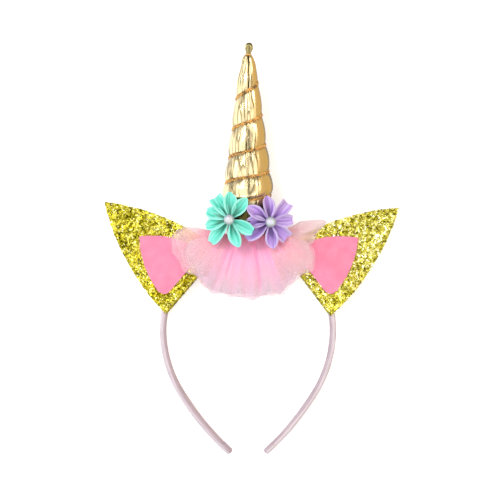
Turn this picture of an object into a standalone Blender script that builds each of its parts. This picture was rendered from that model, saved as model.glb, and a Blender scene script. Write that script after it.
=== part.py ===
"""A unicorn horn headband, lying on its back.

A ribbon-covered band carries a stuffed horn with a thread wound up it, two ears of glitter sheet folded over
the band, pink felt inner ears, a fan of gathered tulle and two ribbon flowers with pearls.

X runs across the head, Y from the band's ends to the horn's tip, and Z from the back to the front. The band's
widest level is at Y 0 and the surface it lies on at Z 0 while it is made. At the end the whole headband is
moved, so that the origin is on that surface, under the middle of its box.
"""

import math

import bmesh
import bpy
from mathutils import Vector

MM = 0.001
GAP = 0.3 * MM  # between pieces that are glued together

# The band, seen from the front: a half ellipse over the head and two legs that turn inwards.
BAND_HALF_WIDTH = 60.9 * MM  # to the centreline, at the widest level
BAND_RISE = 68.0 * MM  # from the widest level to the centreline's top
BAND_THICKNESS = 4.4 * MM
BAND_DEPTH = 6.0 * MM
BAND_CORNER = 1.6 * MM
LEG_UPPER_RADIUS = 84.5 * MM
LEG_UPPER_TURN = 31.2  # degrees
LEG_LOWER_RADIUS = 195.0 * MM
LEG_LOWER_TURN = 16.4  # degrees
BAND_TIP_ROUNDING = 0.62  # the end's size, as a share of the band's section

# The ears: a sheet folded over the band along a straight edge, and glued to itself beyond the band.
EAR_SHEET = 1.8 * MM
EAR_BASE = 59.5 * MM  # the folded edge
EAR_HEIGHT = 86.0 * MM
EAR_BULGE = 6.5 * MM  # of each curved side
EAR_LEAN = 2.6 * MM  # the tip, up from the middle of the base
EAR_FOLD_RADIUS = 2.0 * MM
EAR_HIGH_TO = 17.0 * MM  # how far from the fold the front stays clear of the band
EAR_LOW_FROM = 40.0 * MM  # where the two layers meet

# The felt inner ears, which follow the ears' fronts.
FELT = 1.2 * MM
INNER_FROM = 8.7 * MM  # from the fold to the felt's lower edge
INNER_HALF_BASE = 21.0 * MM
INNER_HEIGHT = 42.2 * MM
INNER_BULGE = 3.4 * MM
INNER_CORNER = 5.5 * MM

# Each ear's lower corner on the band, and the angle of its fold from X.
EAR_PLACES = [
    # side, side of the head, corner x, corner y, fold angle in degrees
    ("left", 1, -58.7 * MM, 11.6 * MM, 49.5),
    ("right", -1, 59.2 * MM, 10.2 * MM, 53.0),
]

# The horn stands on the band's top.
HORN_LENGTH = 126.0 * MM
HORN_RADIUS = 18.2 * MM  # over the widest fold of cloth
GROOVE_DEPTH = 1.7 * MM  # at the widest fold
HORN_FLATTENED = 0.58 * MM  # how much less the widest fold reaches back than its radius
HORN_SEAT_DEPTH = 4.0 * MM  # cloth below the band's top, cut away to the band's curve
SEAT_STEPS = 76
HORN_SIDES = 28
HORN_ROWS = 40
HORN_PROFILE = [
    # share of the length, share of the radius
    (-0.04, 0.82),
    (0.13, 0.83),
    (0.165, 0.90),
    (0.19, 0.97),
    (0.24, 1.00),
    (0.378, 0.865),
    (0.532, 0.72),
    (0.709, 0.56),
    (0.869, 0.41),
    (0.955, 0.29),
    (0.99, 0.20),
    (1.00, 0.15),
]

# The thread's route up the horn: turn n passes the front at FIRST + n * PITCH + n * n * PITCH_GROWTH.
THREAD_DIAMETER = 1.4 * MM
THREAD_FIRST = 22.4 * MM
THREAD_PITCH = 15.6 * MM
THREAD_PITCH_GROWTH = 1.0 * MM
THREAD_FROM_TURN = -0.35
THREAD_TO_TURN = 4.85
THREAD_STEPS = 15  # points a turn

# The pinched end of the horn's cloth.
TIP_HEIGHT = 10.0 * MM
TIP_WIDTH = 6.2 * MM
TIP_DEPTH = 4.4 * MM
TIP_LEAN = 8.0  # degrees

# The tulle is gathered in front of the band's top and fans out over the ears.
TULLE_THICKNESS = 1.0 * MM
TULLE_REACH = 50.0 * MM
GATHER_HALF_WIDTH = 8.0 * MM
GATHER_HALF_HEIGHT = 3.0 * MM
GATHER_BELOW_TOP = 4.6 * MM  # the gather's middle, under the top of the band
FAN_CENTRE_BELOW_TOP = 0.2 * MM  # where the reach is measured from, under the top of the band
LAYER_STEP = 1.6 * MM  # between the layers at the gather
PLEAT_DEPTH = 2.2 * MM
PLEAT_ANGLE = 14.3  # degrees a pleat
TULLE_ROWS = 6
HEM_LOW = 8.0 * MM  # above the surface, where the tulle hangs free
HEM_HIGH = 14.6 * MM  # above the surface, where it lies over the ears
TULLE_PUFF = 8.0 * MM

# Each layer: how many steps up it is gathered, its puff as a share of TULLE_PUFF, its segments, and its sections.
TULLE_LAYERS = {
    "tulle_back": (
        0,
        0.12,
        54,
        [
            # angle in degrees, reach share, hem height share from low to high, pleat share
            (174.0, 0.90, 1.00, 0.30),
            (183.0, 1.14, 1.00, 0.35),
            (197.0, 1.09, 1.00, 0.40),
            (210.0, 1.08, 1.00, 0.45),
            (220.0, 0.98, 1.00, 0.50),
            (231.0, 1.01, 0.55, 0.70),
            (244.0, 0.95, 0.10, 0.90),
            (267.0, 0.95, 0.00, 1.00),
            (287.0, 0.92, 0.00, 1.00),
            (300.0, 1.02, 0.20, 0.90),
            (312.0, 0.96, 0.80, 0.60),
            (325.0, 1.02, 1.00, 0.40),
            (341.0, 1.00, 1.00, 0.35),
            (350.0, 0.86, 1.00, 0.30),
        ],
    ),
    "tulle_fan": (
        1,
        1.00,
        36,
        [
            (224.0, 0.97, 1.35, 0.60),
            (238.0, 0.97, 0.85, 0.90),
            (255.0, 0.955, 0.60, 1.00),
            (285.0, 0.95, 0.60, 1.00),
            (300.0, 0.98, 0.85, 0.90),
            (313.0, 0.95, 1.35, 0.60),
        ],
    ),
    "tulle_lobe_left": (
        2,
        0.80,
        14,
        [
            (187.0, 0.86, 1.70, 0.30),
            (198.0, 0.96, 1.65, 0.40),
            (209.0, 0.95, 1.65, 0.40),
            (218.0, 0.88, 1.75, 0.40),
        ],
    ),
    "tulle_lobe_right": (
        2,
        0.80,
        14,
        [
            (319.0, 0.86, 1.75, 0.40),
            (325.0, 1.02, 1.65, 0.40),
            (331.0, 1.08, 1.65, 0.40),
            (340.0, 1.03, 1.65, 0.40),
            (347.0, 0.94, 1.65, 0.40),
            (352.0, 0.82, 1.70, 0.30),
        ],
    ),
    "tulle_tuft_right": (
        1,
        0.30,
        8,
        [
            (354.0, 1.00, 1.00, 0.20),
            (362.0, 1.06, 1.00, 0.30),
            (369.0, 1.15, 1.10, 0.20),
        ],
    ),
}

# The ribbon flowers: cupped petals round a pearl.
PETAL_REACH = 19.6 * MM
PETAL_ROOT = 3.2 * MM  # from the flower's middle to where its petals start
PETAL_HALF_WIDTH = 4.2 * MM
PETAL_CUP = 3.4 * MM
PETAL_RISE = 1.6 * MM
PETAL_MARGIN = 1.0 * MM  # between a petal's edge and the line half way to its neighbour
RIBBON = 0.7 * MM
PEARL_DIAMETER = 8.4 * MM
PEARL_LIFT = 3.7 * MM  # the pearl's middle, above the petals' roots
PETAL_PROFILE = [
    # share of the length, half width share, cup share
    (0.00, 0.16, 0.20),
    (0.20, 0.50, 0.75),
    (0.42, 0.92, 1.00),
    (0.62, 1.00, 0.95),
    (0.82, 0.68, 0.65),
    (1.00, 0.05, 0.20),
]
PETAL_ACROSS = (-1.0, -0.62, -0.22, 0.22, 0.62, 1.0)

# Each flower's middle is placed in shares of the horn's radius: from the horn's axis, and up from its base.
FLOWERS = {
    "teal": (
        (-0.742, 0.456, 0.693),
        -14.0,  # degrees that its face turns from the front, to the right
        (0.45, 0.88, 0.79),
        [
            # angle in degrees, reach share
            (89.0, 1.00),
            (50.0, 1.00),
            (-25.0, 0.97),
            (-71.0, 1.04),
            (-130.0, 1.08),
            (-165.0, 0.93),
            (159.0, 0.93),
            (124.0, 1.00),
        ],
    ),
    "purple": (
        (0.846, 0.379, 0.660),
        14.0,
        (0.70, 0.57, 0.83),
        [
            (99.0, 0.94),
            (46.0, 0.99),
            (5.0, 0.87),
            (-42.0, 0.90),
            (-84.0, 0.96),
            (-145.0, 1.02),
            (-179.0, 0.86),
            (148.0, 1.00),
        ],
    ),
}

# Sizes that follow from those above.
BAND_BACK = EAR_SHEET + GAP
BAND_MIDDLE = BAND_BACK + BAND_DEPTH / 2
EAR_FRONT = BAND_BACK + BAND_DEPTH + GAP + EAR_SHEET
BAND_TOP = BAND_RISE + BAND_THICKNESS / 2
HORN_BASE = BAND_TOP + GAP
HORN_AXIS = HORN_RADIUS - HORN_FLATTENED  # above the surface that the widest fold touches


def clear_scene():
    """Takes away what the file starts with."""
    for thing in list(bpy.data.objects):
        bpy.data.objects.remove(thing)


def collection(name):
    """A new collection of the scene."""
    made = bpy.data.collections.new(name)
    bpy.context.scene.collection.children.link(made)
    return made


def finish(name, colour, roughness, metallic=0.0):
    """A plain material for one kind of piece."""
    made = bpy.data.materials.new(name)
    made.use_nodes = True
    shader = made.node_tree.nodes["Principled BSDF"]
    shader.inputs["Base Color"].default_value = (*colour, 1.0)
    shader.inputs["Roughness"].default_value = roughness
    shader.inputs["Metallic"].default_value = metallic
    return made


def add_object(name, data, material=None):
    """A new object: a part of the headband if it has a material, otherwise a hidden cutter or guide."""
    made = bpy.data.objects.new(name, data)
    if material is None:
        CUTTERS.objects.link(made)
        made.hide_render = True
        made.display_type = "WIRE"
    else:
        PARTS.objects.link(made)
        data.materials.append(material)
        made.parent = FRAME
    return made


def poly_curve(name, outlines, dimensions, closed):
    """Curve data with a straight-sided spline for each outline."""
    data = bpy.data.curves.new(name, "CURVE")
    data.dimensions = dimensions
    for outline in outlines:
        spline = data.splines.new("POLY")
        spline.points.add(len(outline) - 1)
        for point, place in zip(spline.points, outline):
            point.co = (*place, *(0.0,) * (3 - len(place)), 1.0)
        spline.use_cyclic_u = closed
    return data


def as_mesh(curve, material=None):
    """Swaps a curve object for a mesh object whose caps are welded on."""
    bpy.context.view_layer.update()
    graph = bpy.context.evaluated_depsgraph_get()
    data = bpy.data.meshes.new_from_object(curve.evaluated_get(graph))
    welded = bmesh.new()
    welded.from_mesh(data)
    bmesh.ops.remove_doubles(welded, verts=welded.verts, dist=GAP / 30)
    bmesh.ops.recalc_face_normals(welded, faces=welded.faces)
    welded.to_mesh(data)
    welded.free()
    data.materials.clear()
    name, place = curve.name, curve.matrix_world.copy()
    bpy.data.objects.remove(curve)
    made = add_object(name, data, material)
    made.matrix_world = place
    return made


def prism(name, outlines, height, material=None):
    """A flat outline, with any holes, made `height` thick about its own plane."""
    data = poly_curve(name, outlines, "2D", True)
    data.fill_mode = "BOTH"
    data.extrude = height / 2
    return as_mesh(add_object(name, data), material)


def boolean(target, other, operation):
    """Cuts the target with another solid, or keeps what the two share."""
    cut = target.modifiers.new(operation.title(), "BOOLEAN")
    cut.operation = operation
    cut.object = other


def shade(made):
    """Smooth shading, with the real edges kept sharp."""
    made.data.shade_smooth()
    made.data.set_sharp_from_angle(angle=math.radians(40))
    return made


def arc_between(start, end, bulge, steps):
    """Points of an arc from start to end, both included, that bulges to the right of the way."""
    start, end = Vector(start), Vector(end)
    chord = end - start
    radius = (chord.length_squared / 4 + bulge**2) / (2 * bulge)
    half_angle = math.asin(min(1.0, chord.length / 2 / radius))
    along = chord.normalized()
    outwards = Vector((along.y, -along.x))
    middle = (start + end) / 2 + outwards * (bulge - radius)
    angles = [half_angle * (2 * i / steps - 1) for i in range(steps + 1)]
    return [middle + radius * (along * math.sin(a) + outwards * math.cos(a)) for a in angles]


def between(table, at, column):
    """A column of a table, straight between its rows."""
    for low, high in zip(table, table[1:]):
        if at <= high[0]:
            share = max(0.0, (at - low[0]) / (high[0] - low[0]))
            return low[column] + (high[column] - low[column]) * share
    return table[-1][column]


def ease(share):
    """0 to 1 with level ends."""
    share = min(1.0, max(0.0, share))
    return share * share * (3 - 2 * share)


def band_route():
    """The band's centreline, from the left end over the head to the right end. No point is at the top, so the
    head rests on a flat of the band there."""
    right = []
    crown_steps = 19
    for i in range(crown_steps):
        angle = math.pi / 2 * (2 * i + 1) / (2 * crown_steps)
        right.append(Vector((BAND_HALF_WIDTH * math.sin(angle), BAND_RISE * math.cos(angle))))
    legs = [
        (LEG_UPPER_RADIUS, LEG_UPPER_TURN, 9),
        (LEG_LOWER_RADIUS, LEG_LOWER_TURN, 8),
    ]
    start, turned = Vector((BAND_HALF_WIDTH, 0.0)), 0.0
    for radius, turn, steps in legs:
        centre = start - radius * Vector((math.cos(turned), -math.sin(turned)))
        for i in range(1, steps + 1):
            angle = turned + math.radians(turn) * i / steps
            right.append(centre + radius * Vector((math.cos(angle), -math.sin(angle))))
        start, turned = right[-1], turned + math.radians(turn)
    left = [Vector((-place.x, place.y)) for place in reversed(right)]
    return left + right


def band_section(name, extra):
    """The band's rounded section as a guide curve, made larger all round by `extra`."""
    across, deep = BAND_THICKNESS / 2 + extra, BAND_DEPTH / 2 + extra
    corner = BAND_CORNER + extra
    outline = []
    for quarter, (x, y) in enumerate([(1, 1), (-1, 1), (-1, -1), (1, -1)]):
        centre = Vector((x * (across - corner), y * (deep - corner)))
        for i in range(4):
            angle = math.pi / 2 * (quarter + i / 3)
            outline.append(centre + corner * Vector((math.cos(angle), math.sin(angle))))
    return add_object(name, poly_curve(name, [outline], "2D", True))


def band_tube(name, extra, material=None):
    """The band as a solid, or a cutter that leaves `extra` all round it."""
    route = band_route()
    data = poly_curve(name, [[(p.x, p.y, BAND_MIDDLE) for p in route]], "3D", False)
    data.twist_mode = "Z_UP"
    data.bevel_mode = "OBJECT"
    data.bevel_object = band_section(name + "_section", extra)
    data.use_fill_caps = True
    points = data.splines[0].points
    if not extra:
        points[0].radius = points[-1].radius = BAND_TIP_ROUNDING
    return as_mesh(add_object(name, data), material)


def ear_front(distance):
    """How high the ear's front is above the surface, at a distance from its fold."""
    share = ease((distance - EAR_HIGH_TO) / (EAR_LOW_FROM - EAR_HIGH_TO))
    return EAR_FRONT + (2 * EAR_SHEET - EAR_FRONT) * share


def slope_distances(start, end):
    """Distances from the fold that follow the slope of the ear's front."""
    steps = [EAR_HIGH_TO + (EAR_LOW_FROM - EAR_HIGH_TO) * i / 8 for i in range(9)]
    return [start] + [d for d in steps if start < d < end] + [end]


def ear_section():
    """The folded sheet's section: distance from the fold, and height. The second outline is its hollow."""
    r = EAR_FOLD_RADIUS
    nose = []
    for centre_height, first in ((r, 270), (EAR_FRONT - r, 180)):
        for i in range(4):
            angle = math.radians(first - 30 * i)
            nose.append((r + r * math.cos(angle), centre_height + r * math.sin(angle)))
    end = EAR_HEIGHT + EAR_BULGE
    outer = nose + [(d, ear_front(d)) for d in slope_distances(EAR_HIGH_TO, end)] + [(end, 0.0)]
    roof = [(d, ear_front(d) - EAR_SHEET) for d in slope_distances(EAR_SHEET, EAR_LOW_FROM)]
    hollow = [(EAR_SHEET, EAR_SHEET)] + roof
    return [outer, hollow]


def ear_outline(side):
    """The ear seen from the front: its folded edge along X and two curved sides to the tip."""
    tip = (EAR_LEAN * side, EAR_HEIGHT)
    left, right = (-EAR_BASE / 2, 0.0), (EAR_BASE / 2, 0.0)
    return arc_between(right, tip, EAR_BULGE, 12) + arc_between(tip, left, EAR_BULGE, 12)[1:]


def inner_outline():
    """The felt seen from the front: a rounded base and two curved sides to a point."""
    corner = INNER_CORNER
    outline = []
    for x, first in ((1, 270), (-1, 180)):
        centre = Vector((x * (INNER_HALF_BASE - corner), INNER_FROM + corner))
        for i in range(5):
            angle = math.radians(first + 22.5 * i)
            outline.append(centre + corner * Vector((math.cos(angle), math.sin(angle))))
    tip = Vector((0.0, INNER_FROM + INNER_HEIGHT))
    right_corner, left_corner = outline[:5], outline[5:]
    right_side = arc_between(right_corner[-1], tip, INNER_BULGE, 7)[1:]
    left_side = arc_between(tip, left_corner[0], INNER_BULGE, 7)[1:-1]
    return right_corner + right_side + left_side + left_corner


def place_ear_piece(made, side, corner, fold_angle):
    """Moves a piece from the ear's own frame, with the fold along X and its middle at the origin."""
    fold = math.radians(fold_angle)
    middle = corner + EAR_BASE / 2 * Vector((side * math.cos(fold), math.sin(fold)))
    made.location = (middle.x, middle.y, 0.0)
    made.rotation_euler = (0.0, 0.0, side * fold)


def sheet_along_fold(name, outlines, width, material=None):
    """A section, drawn as distance from the fold and height, made `width` wide along the fold."""
    made = prism(name, outlines, width, material)
    for vertex in made.data.vertices:
        distance, height, along = vertex.co
        vertex.co = (along, distance, height)
    return made


def make_ears(glitter, felt, band_space):
    """Both ears, each a folded sheet round the band, with its felt inner ear."""
    for name, side, x, y, fold_angle in EAR_PLACES:
        corner = Vector((x, y))
        ear = sheet_along_fold(f"ear_{name}", ear_section(), 2 * EAR_BASE, glitter)
        leaf = prism(f"ear_{name}_outline", [ear_outline(side)], 4 * EAR_FRONT)
        distances = slope_distances(0.0, INNER_FROM + INNER_HEIGHT + FELT)
        under = [(d, ear_front(d) + GAP) for d in distances]
        over = [(d, ear_front(d) + GAP + FELT) for d in reversed(distances)]
        inner = sheet_along_fold(f"inner_ear_{name}", [under + over], 2 * EAR_BASE, felt)
        shape = prism(f"inner_ear_{name}_outline", [inner_outline()], 4 * EAR_FRONT)
        for made in (ear, leaf, inner, shape):
            place_ear_piece(made, side, corner, fold_angle)
        boolean(ear, leaf, "INTERSECT")
        boolean(ear, band_space, "DIFFERENCE")
        boolean(inner, shape, "INTERSECT")


def thread_turns(height):
    """How many turns the thread has made when it passes the front at this height."""
    root = THREAD_PITCH**2 + 4 * THREAD_PITCH_GROWTH * (height - THREAD_FIRST)
    return (math.sqrt(max(root, 0.0)) - THREAD_PITCH) / (2 * THREAD_PITCH_GROWTH)


def thread_height(turns):
    """How high up the horn the thread is after a number of turns."""
    return THREAD_FIRST + THREAD_PITCH * turns + THREAD_PITCH_GROWTH * turns**2


def horn_radius(height, angle, groove_only=False):
    """The horn's radius at a height and an angle, which is 0 at the front and grows to the right."""
    full = HORN_RADIUS * between(HORN_PROFILE, height / HORN_LENGTH, 1)
    phase = thread_turns(height) - angle / (2 * math.pi)
    pillow = 0.0 if groove_only else math.sin(math.pi * (phase % 1.0)) ** 0.6
    wound = ease((thread_turns(height) - THREAD_FROM_TURN) / 0.35 + 0.5)
    depth = GROOVE_DEPTH * math.sqrt(full / HORN_RADIUS) * wound
    return full - depth * (1 - pillow)


def thread_route(extra_points):
    """The thread's centreline in the horn's own frame, whose Z runs up the horn and whose front is at -Y. The
    cutter's route has extra points at both ends, and all the others where the thread has them."""
    steps = round((THREAD_TO_TURN - THREAD_FROM_TURN) * THREAD_STEPS)
    route = []
    for i in range(-extra_points, steps + 1 + extra_points):
        turns = THREAD_FROM_TURN + i / THREAD_STEPS
        height, angle = thread_height(turns), 2 * math.pi * turns
        radius = horn_radius(height, angle, groove_only=True)
        route.append((radius * math.sin(angle), -radius * math.cos(angle), height))
    return route


def thread_tube(name, extra_radius, extra_points, material=None):
    """The thread, or the wider and longer cutter that makes room for it."""
    route = thread_route(extra_points)
    data = poly_curve(name, [route], "3D", False)
    data.bevel_depth = THREAD_DIAMETER / 2 + extra_radius
    data.bevel_resolution = 1
    data.use_fill_caps = True
    return as_mesh(add_object(name, data), material)


def stand_on_band(made, height=0.0):
    """Turns a piece of the horn so that its own Z runs up the headband, and seats it on the band's top."""
    made.rotation_euler = (-math.pi / 2, 0.0, 0.0)
    made.location = (0.0, HORN_BASE + height, HORN_AXIS)


def make_horn(cloth):
    """The stuffed horn: a cylinder of many rows, each vertex moved to the wound shape, and cut to its seat."""
    shape = bmesh.new()
    bmesh.ops.create_cone(
        shape, cap_ends=True, segments=HORN_SIDES, radius1=1.0, radius2=1.0, depth=1.0
    )
    upright = [e for e in shape.edges if abs(e.verts[0].co.z - e.verts[1].co.z) > 0.5]
    bmesh.ops.subdivide_edges(shape, edges=upright, cuts=HORN_ROWS - 1)
    for vertex in shape.verts:
        share = vertex.co.z + 0.5
        height = -HORN_SEAT_DEPTH + (HORN_LENGTH + HORN_SEAT_DEPTH) * share
        angle = math.atan2(vertex.co.x, -vertex.co.y)
        radius = horn_radius(height, angle)
        vertex.co = (radius * math.sin(angle), -radius * math.cos(angle), height)
    data = bpy.data.meshes.new("horn")
    shape.to_mesh(data)
    shape.free()
    horn = add_object("horn", data, cloth)
    stand_on_band(horn)
    space = thread_tube("thread_space", GAP, 1)
    stand_on_band(space)
    boolean(horn, space, "DIFFERENCE")
    seat = []
    for i in range(SEAT_STEPS):
        angle = 2 * math.pi * (i + 0.5) / SEAT_STEPS
        out = (BAND_THICKNESS / 2 + GAP) / math.cos(math.pi / SEAT_STEPS)
        seat.append(((BAND_HALF_WIDTH + out) * math.cos(angle), (BAND_RISE + out) * math.sin(angle)))
    boolean(horn, prism("horn_seat", [seat], 6 * HORN_RADIUS), "DIFFERENCE")
    shade(horn)


def make_horn_tip(cloth):
    """The pinched end of the horn's cloth: a rounded tab, narrow at the foot, that leans a little."""
    shape = bmesh.new()
    bmesh.ops.create_cube(shape, size=1.0)
    for vertex in shape.verts:
        foot = vertex.co.z < 0
        vertex.co.x *= TIP_WIDTH * (0.9 if foot else 1.25)
        vertex.co.y *= TIP_DEPTH * (0.9 if foot else 1.25)
        vertex.co.z *= TIP_HEIGHT * 1.2
    data = bpy.data.meshes.new("horn_tip")
    shape.to_mesh(data)
    shape.free()
    tip = add_object("horn_tip", data, cloth)
    smooth = tip.modifiers.new("Smooth", "SUBSURF")
    smooth.levels = smooth.render_levels = 2
    stand_on_band(tip, HORN_LENGTH + GAP + TIP_HEIGHT / 2)
    tip.rotation_euler[1] = math.radians(TIP_LEAN)
    shade(tip)


def pleat(angle):
    """The pleats' height at an angle in degrees, from -1 to 1, the same for each layer so that they nest."""
    turn = 360.0 / PLEAT_ANGLE
    a = math.radians(angle)
    return 0.72 * math.sin(turn * a) + 0.28 * math.sin(0.62 * turn * a + 1.0)


def tulle_place(layer, angle, share):
    """A point of a tulle layer, at an angle in degrees and a share of the way from the gather to the hem."""
    steps_up, puff, _, sections = TULLE_LAYERS[layer]
    a = math.radians(angle)
    top = BAND_TOP
    gather = Vector(
        (
            GATHER_HALF_WIDTH * math.cos(a),
            top - GATHER_BELOW_TOP + GATHER_HALF_HEIGHT * math.sin(a),
        )
    )
    reach = TULLE_REACH * between(sections, angle, 1)
    hem = Vector((reach * math.cos(a), top - FAN_CENTRE_BELOW_TOP + reach * math.sin(a)))
    flat = gather.lerp(hem, share)
    lowest = BAND_BACK + BAND_DEPTH + GAP + TULLE_THICKNESS / 2
    start = lowest + steps_up * LAYER_STEP
    end = HEM_LOW + (HEM_HIGH - HEM_LOW) * between(sections, angle, 2)
    height = start + (end - start) * math.sin(math.pi / 2 * min(1.0, 1.5 * share))
    height += TULLE_PUFF * puff * math.sin(math.pi * share**0.8)
    height += PLEAT_DEPTH * between(sections, angle, 3) * share**1.5 * pleat(angle)
    return Vector((flat.x, flat.y, height))


def make_tulle(net):
    """Each layer of the gathered tulle, a pleated sheet from the gather to its hem."""
    for layer, (_, _, segments, sections) in TULLE_LAYERS.items():
        first, last = sections[0][0], sections[-1][0]
        shape = bmesh.new()
        bmesh.ops.create_grid(shape, x_segments=segments, y_segments=TULLE_ROWS, size=0.5)
        for vertex in shape.verts:
            angle = first + (last - first) * (vertex.co.x + 0.5)
            vertex.co = tulle_place(layer, angle, vertex.co.y + 0.5)
        bmesh.ops.recalc_face_normals(shape, faces=shape.faces)
        data = bpy.data.meshes.new(layer)
        shape.to_mesh(data)
        shape.free()
        sheet = add_object(layer, data, net)
        wall = sheet.modifiers.new("Wall", "SOLIDIFY")
        wall.thickness = TULLE_THICKNESS
        wall.offset = 0.0
        wall.use_even_offset = False
        shade(sheet)


def petal_room(gap_angle, reach):
    """How wide one side of a petal can be, where its neighbour is gap_angle degrees away."""
    slope = math.tan(math.radians(min(gap_angle, 80.0) / 2))
    rooms = [PETAL_HALF_WIDTH]
    for share, half, _ in PETAL_PROFILE[1:-1]:
        length = PETAL_ROOT + (reach - PETAL_ROOT) * share
        rooms.append((length * slope - PETAL_MARGIN) / half)
    return min(rooms)


def petal_mesh(name, reach, left_width, right_width):
    """One petal along X: a ribbon cupped to the front, from its narrow root to its pointed tip."""
    shape = bmesh.new()
    rows, columns = len(PETAL_PROFILE), len(PETAL_ACROSS)
    bmesh.ops.create_grid(shape, x_segments=rows - 1, y_segments=columns - 1, size=0.5)
    for vertex in shape.verts:
        share, half, cup = PETAL_PROFILE[round((vertex.co.x + 0.5) * (rows - 1))]
        across = PETAL_ACROSS[round((vertex.co.y + 0.5) * (columns - 1))]
        length = PETAL_ROOT + (reach - PETAL_ROOT) * share
        half_width = left_width if across > 0 else right_width
        lift = PETAL_CUP * cup * abs(across) ** 1.7 * half_width / PETAL_HALF_WIDTH
        vertex.co = (length, half_width * half * across, lift + PETAL_RISE * share**2)
    data = bpy.data.meshes.new(name)
    shape.to_mesh(data)
    shape.free()
    return data


def make_flowers(pearl):
    """Both flowers, each an empty on the horn's foot that carries its petals and its pearl."""
    for flower, (place, turn, colour, petals) in FLOWERS.items():
        ribbon = finish(f"{flower}_ribbon", colour, 0.35)
        middle = bpy.data.objects.new(f"{flower}_flower", None)
        PARTS.objects.link(middle)
        middle.parent = FRAME
        across, up, front = (HORN_RADIUS * share for share in place)
        middle.location = (across, HORN_BASE + up, HORN_AXIS + front)
        middle.rotation_euler = (0.0, math.radians(turn), 0.0)
        angles = [angle for angle, _ in petals]
        for number, (angle, reach_share) in enumerate(petals, 1):
            to_left = min((other - angle) % 360 for other in angles if other != angle)
            to_right = min((angle - other) % 360 for other in angles if other != angle)
            name = f"{flower}_petal_{number}"
            reach = PETAL_REACH * reach_share
            left_width, right_width = petal_room(to_left, reach), petal_room(to_right, reach)
            data = petal_mesh(name, reach, left_width, right_width)
            petal = add_object(name, data, ribbon)
            petal.parent = middle
            petal.rotation_euler = (0.0, 0.0, math.radians(angle))
            wall = petal.modifiers.new("Ribbon", "SOLIDIFY")
            wall.thickness = RIBBON
            wall.offset = -1.0
            shade(petal)
        ball = bmesh.new()
        bmesh.ops.create_uvsphere(ball, u_segments=16, v_segments=10, radius=PEARL_DIAMETER / 2)
        data = bpy.data.meshes.new(f"{flower}_pearl")
        ball.to_mesh(data)
        ball.free()
        bead = add_object(f"{flower}_pearl", data, pearl)
        bead.parent = middle
        bead.location = (0.0, 0.0, PEARL_LIFT)
        shade(bead)


def put_origin_under_middle():
    """Moves the headband so that the origin is on the surface it lies on, under the middle of its box."""
    bpy.context.view_layer.update()
    graph = bpy.context.evaluated_depsgraph_get()
    corners = []
    for piece in PARTS.objects:
        if piece.type == "EMPTY":
            continue
        shown = piece.evaluated_get(graph)
        corners += [shown.matrix_world @ vertex.co for vertex in shown.to_mesh().vertices]
    low = Vector(min(corner[axis] for corner in corners) for axis in range(3))
    high = Vector(max(corner[axis] for corner in corners) for axis in range(3))
    FRAME.location = (-(low.x + high.x) / 2, -(low.y + high.y) / 2, -low.z)
    for cutter in CUTTERS.objects:
        cutter.location += FRAME.location


def main():
    """Builds every piece and puts the origin where it belongs."""
    band = band_tube("headband", 0.0, finish("satin_ribbon", (0.88, 0.78, 0.81), 0.4))
    shade(band)
    gold = finish("gold_cloth", (0.86, 0.69, 0.40), 0.3, 1.0)
    make_horn(gold)
    make_horn_tip(gold)
    thread = thread_tube("spiral_thread", 0.0, 0, finish("thread", (0.75, 0.45, 0.15), 0.7))
    stand_on_band(thread)
    glitter = finish("glitter_sheet", (0.80, 0.72, 0.15), 0.35, 0.9)
    felt = finish("pink_felt", (0.98, 0.55, 0.70), 0.95)
    make_ears(glitter, felt, band_tube("band_space", GAP))
    make_tulle(finish("tulle", (0.97, 0.72, 0.82), 0.9))
    make_flowers(finish("pearl", (0.92, 0.92, 0.92), 0.15))
    put_origin_under_middle()


clear_scene()
PARTS = collection("unicorn_horn_headband")
CUTTERS = collection("cutters")
FRAME = bpy.data.objects.new("headband_frame", None)
PARTS.objects.link(FRAME)
main()
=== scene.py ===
"""A unicorn horn headband, lying on its back on a pale floor.

A band wrapped in satin ribbon carries a stuffed horn of gold metallic cloth, two ears of glitter sheet folded
over it, felt inner ears, gathered tulle and two flowers of satin ribbon with a pearl each. Sizes are in
millimetres in the maker's frame, whose origin is on the surface, in the middle of the band's widest level.
"""

import logging
import math
from dataclasses import dataclass, field
from enum import Enum
from typing import Any, Dict, List, Optional, Sequence, Tuple

import bpy
import numpy as np
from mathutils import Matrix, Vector


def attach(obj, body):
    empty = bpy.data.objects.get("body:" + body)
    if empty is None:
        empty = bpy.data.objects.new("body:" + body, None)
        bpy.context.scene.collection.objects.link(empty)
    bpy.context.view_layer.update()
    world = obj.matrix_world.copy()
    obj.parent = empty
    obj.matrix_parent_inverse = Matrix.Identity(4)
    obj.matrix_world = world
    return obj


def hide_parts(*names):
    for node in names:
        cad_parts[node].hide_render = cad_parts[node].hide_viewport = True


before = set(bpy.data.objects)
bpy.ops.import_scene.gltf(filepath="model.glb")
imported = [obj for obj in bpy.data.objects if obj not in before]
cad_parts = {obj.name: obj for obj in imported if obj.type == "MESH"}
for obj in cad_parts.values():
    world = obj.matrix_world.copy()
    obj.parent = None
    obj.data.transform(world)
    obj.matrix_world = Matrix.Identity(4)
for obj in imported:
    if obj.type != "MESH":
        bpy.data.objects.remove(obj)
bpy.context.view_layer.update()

Array = np.ndarray
Material = bpy.types.Material
Piece = bpy.types.Object
Ramp = Tuple[Tuple[float, str], ...]  # places from 0 to 1, each with its hex code

LOG = logging.getLogger("headband")
MM = 0.001
BODY = "root"
ORIGIN = np.array([-2.664, -59.547, 0.0])  # the maker's origin in the row frame
BAND_TOP = 70.2  # the band's outer edge at the top
BAND_MIDDLE = 5.1  # the band's middle, above the surface
CLOTH = "cloth"  # the attribute that holds each point's place on its cloth in millimetres, and its shade
NET_REACH = 46.0  # how far from its gather every net's hem is said to be, in millimetres


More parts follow.
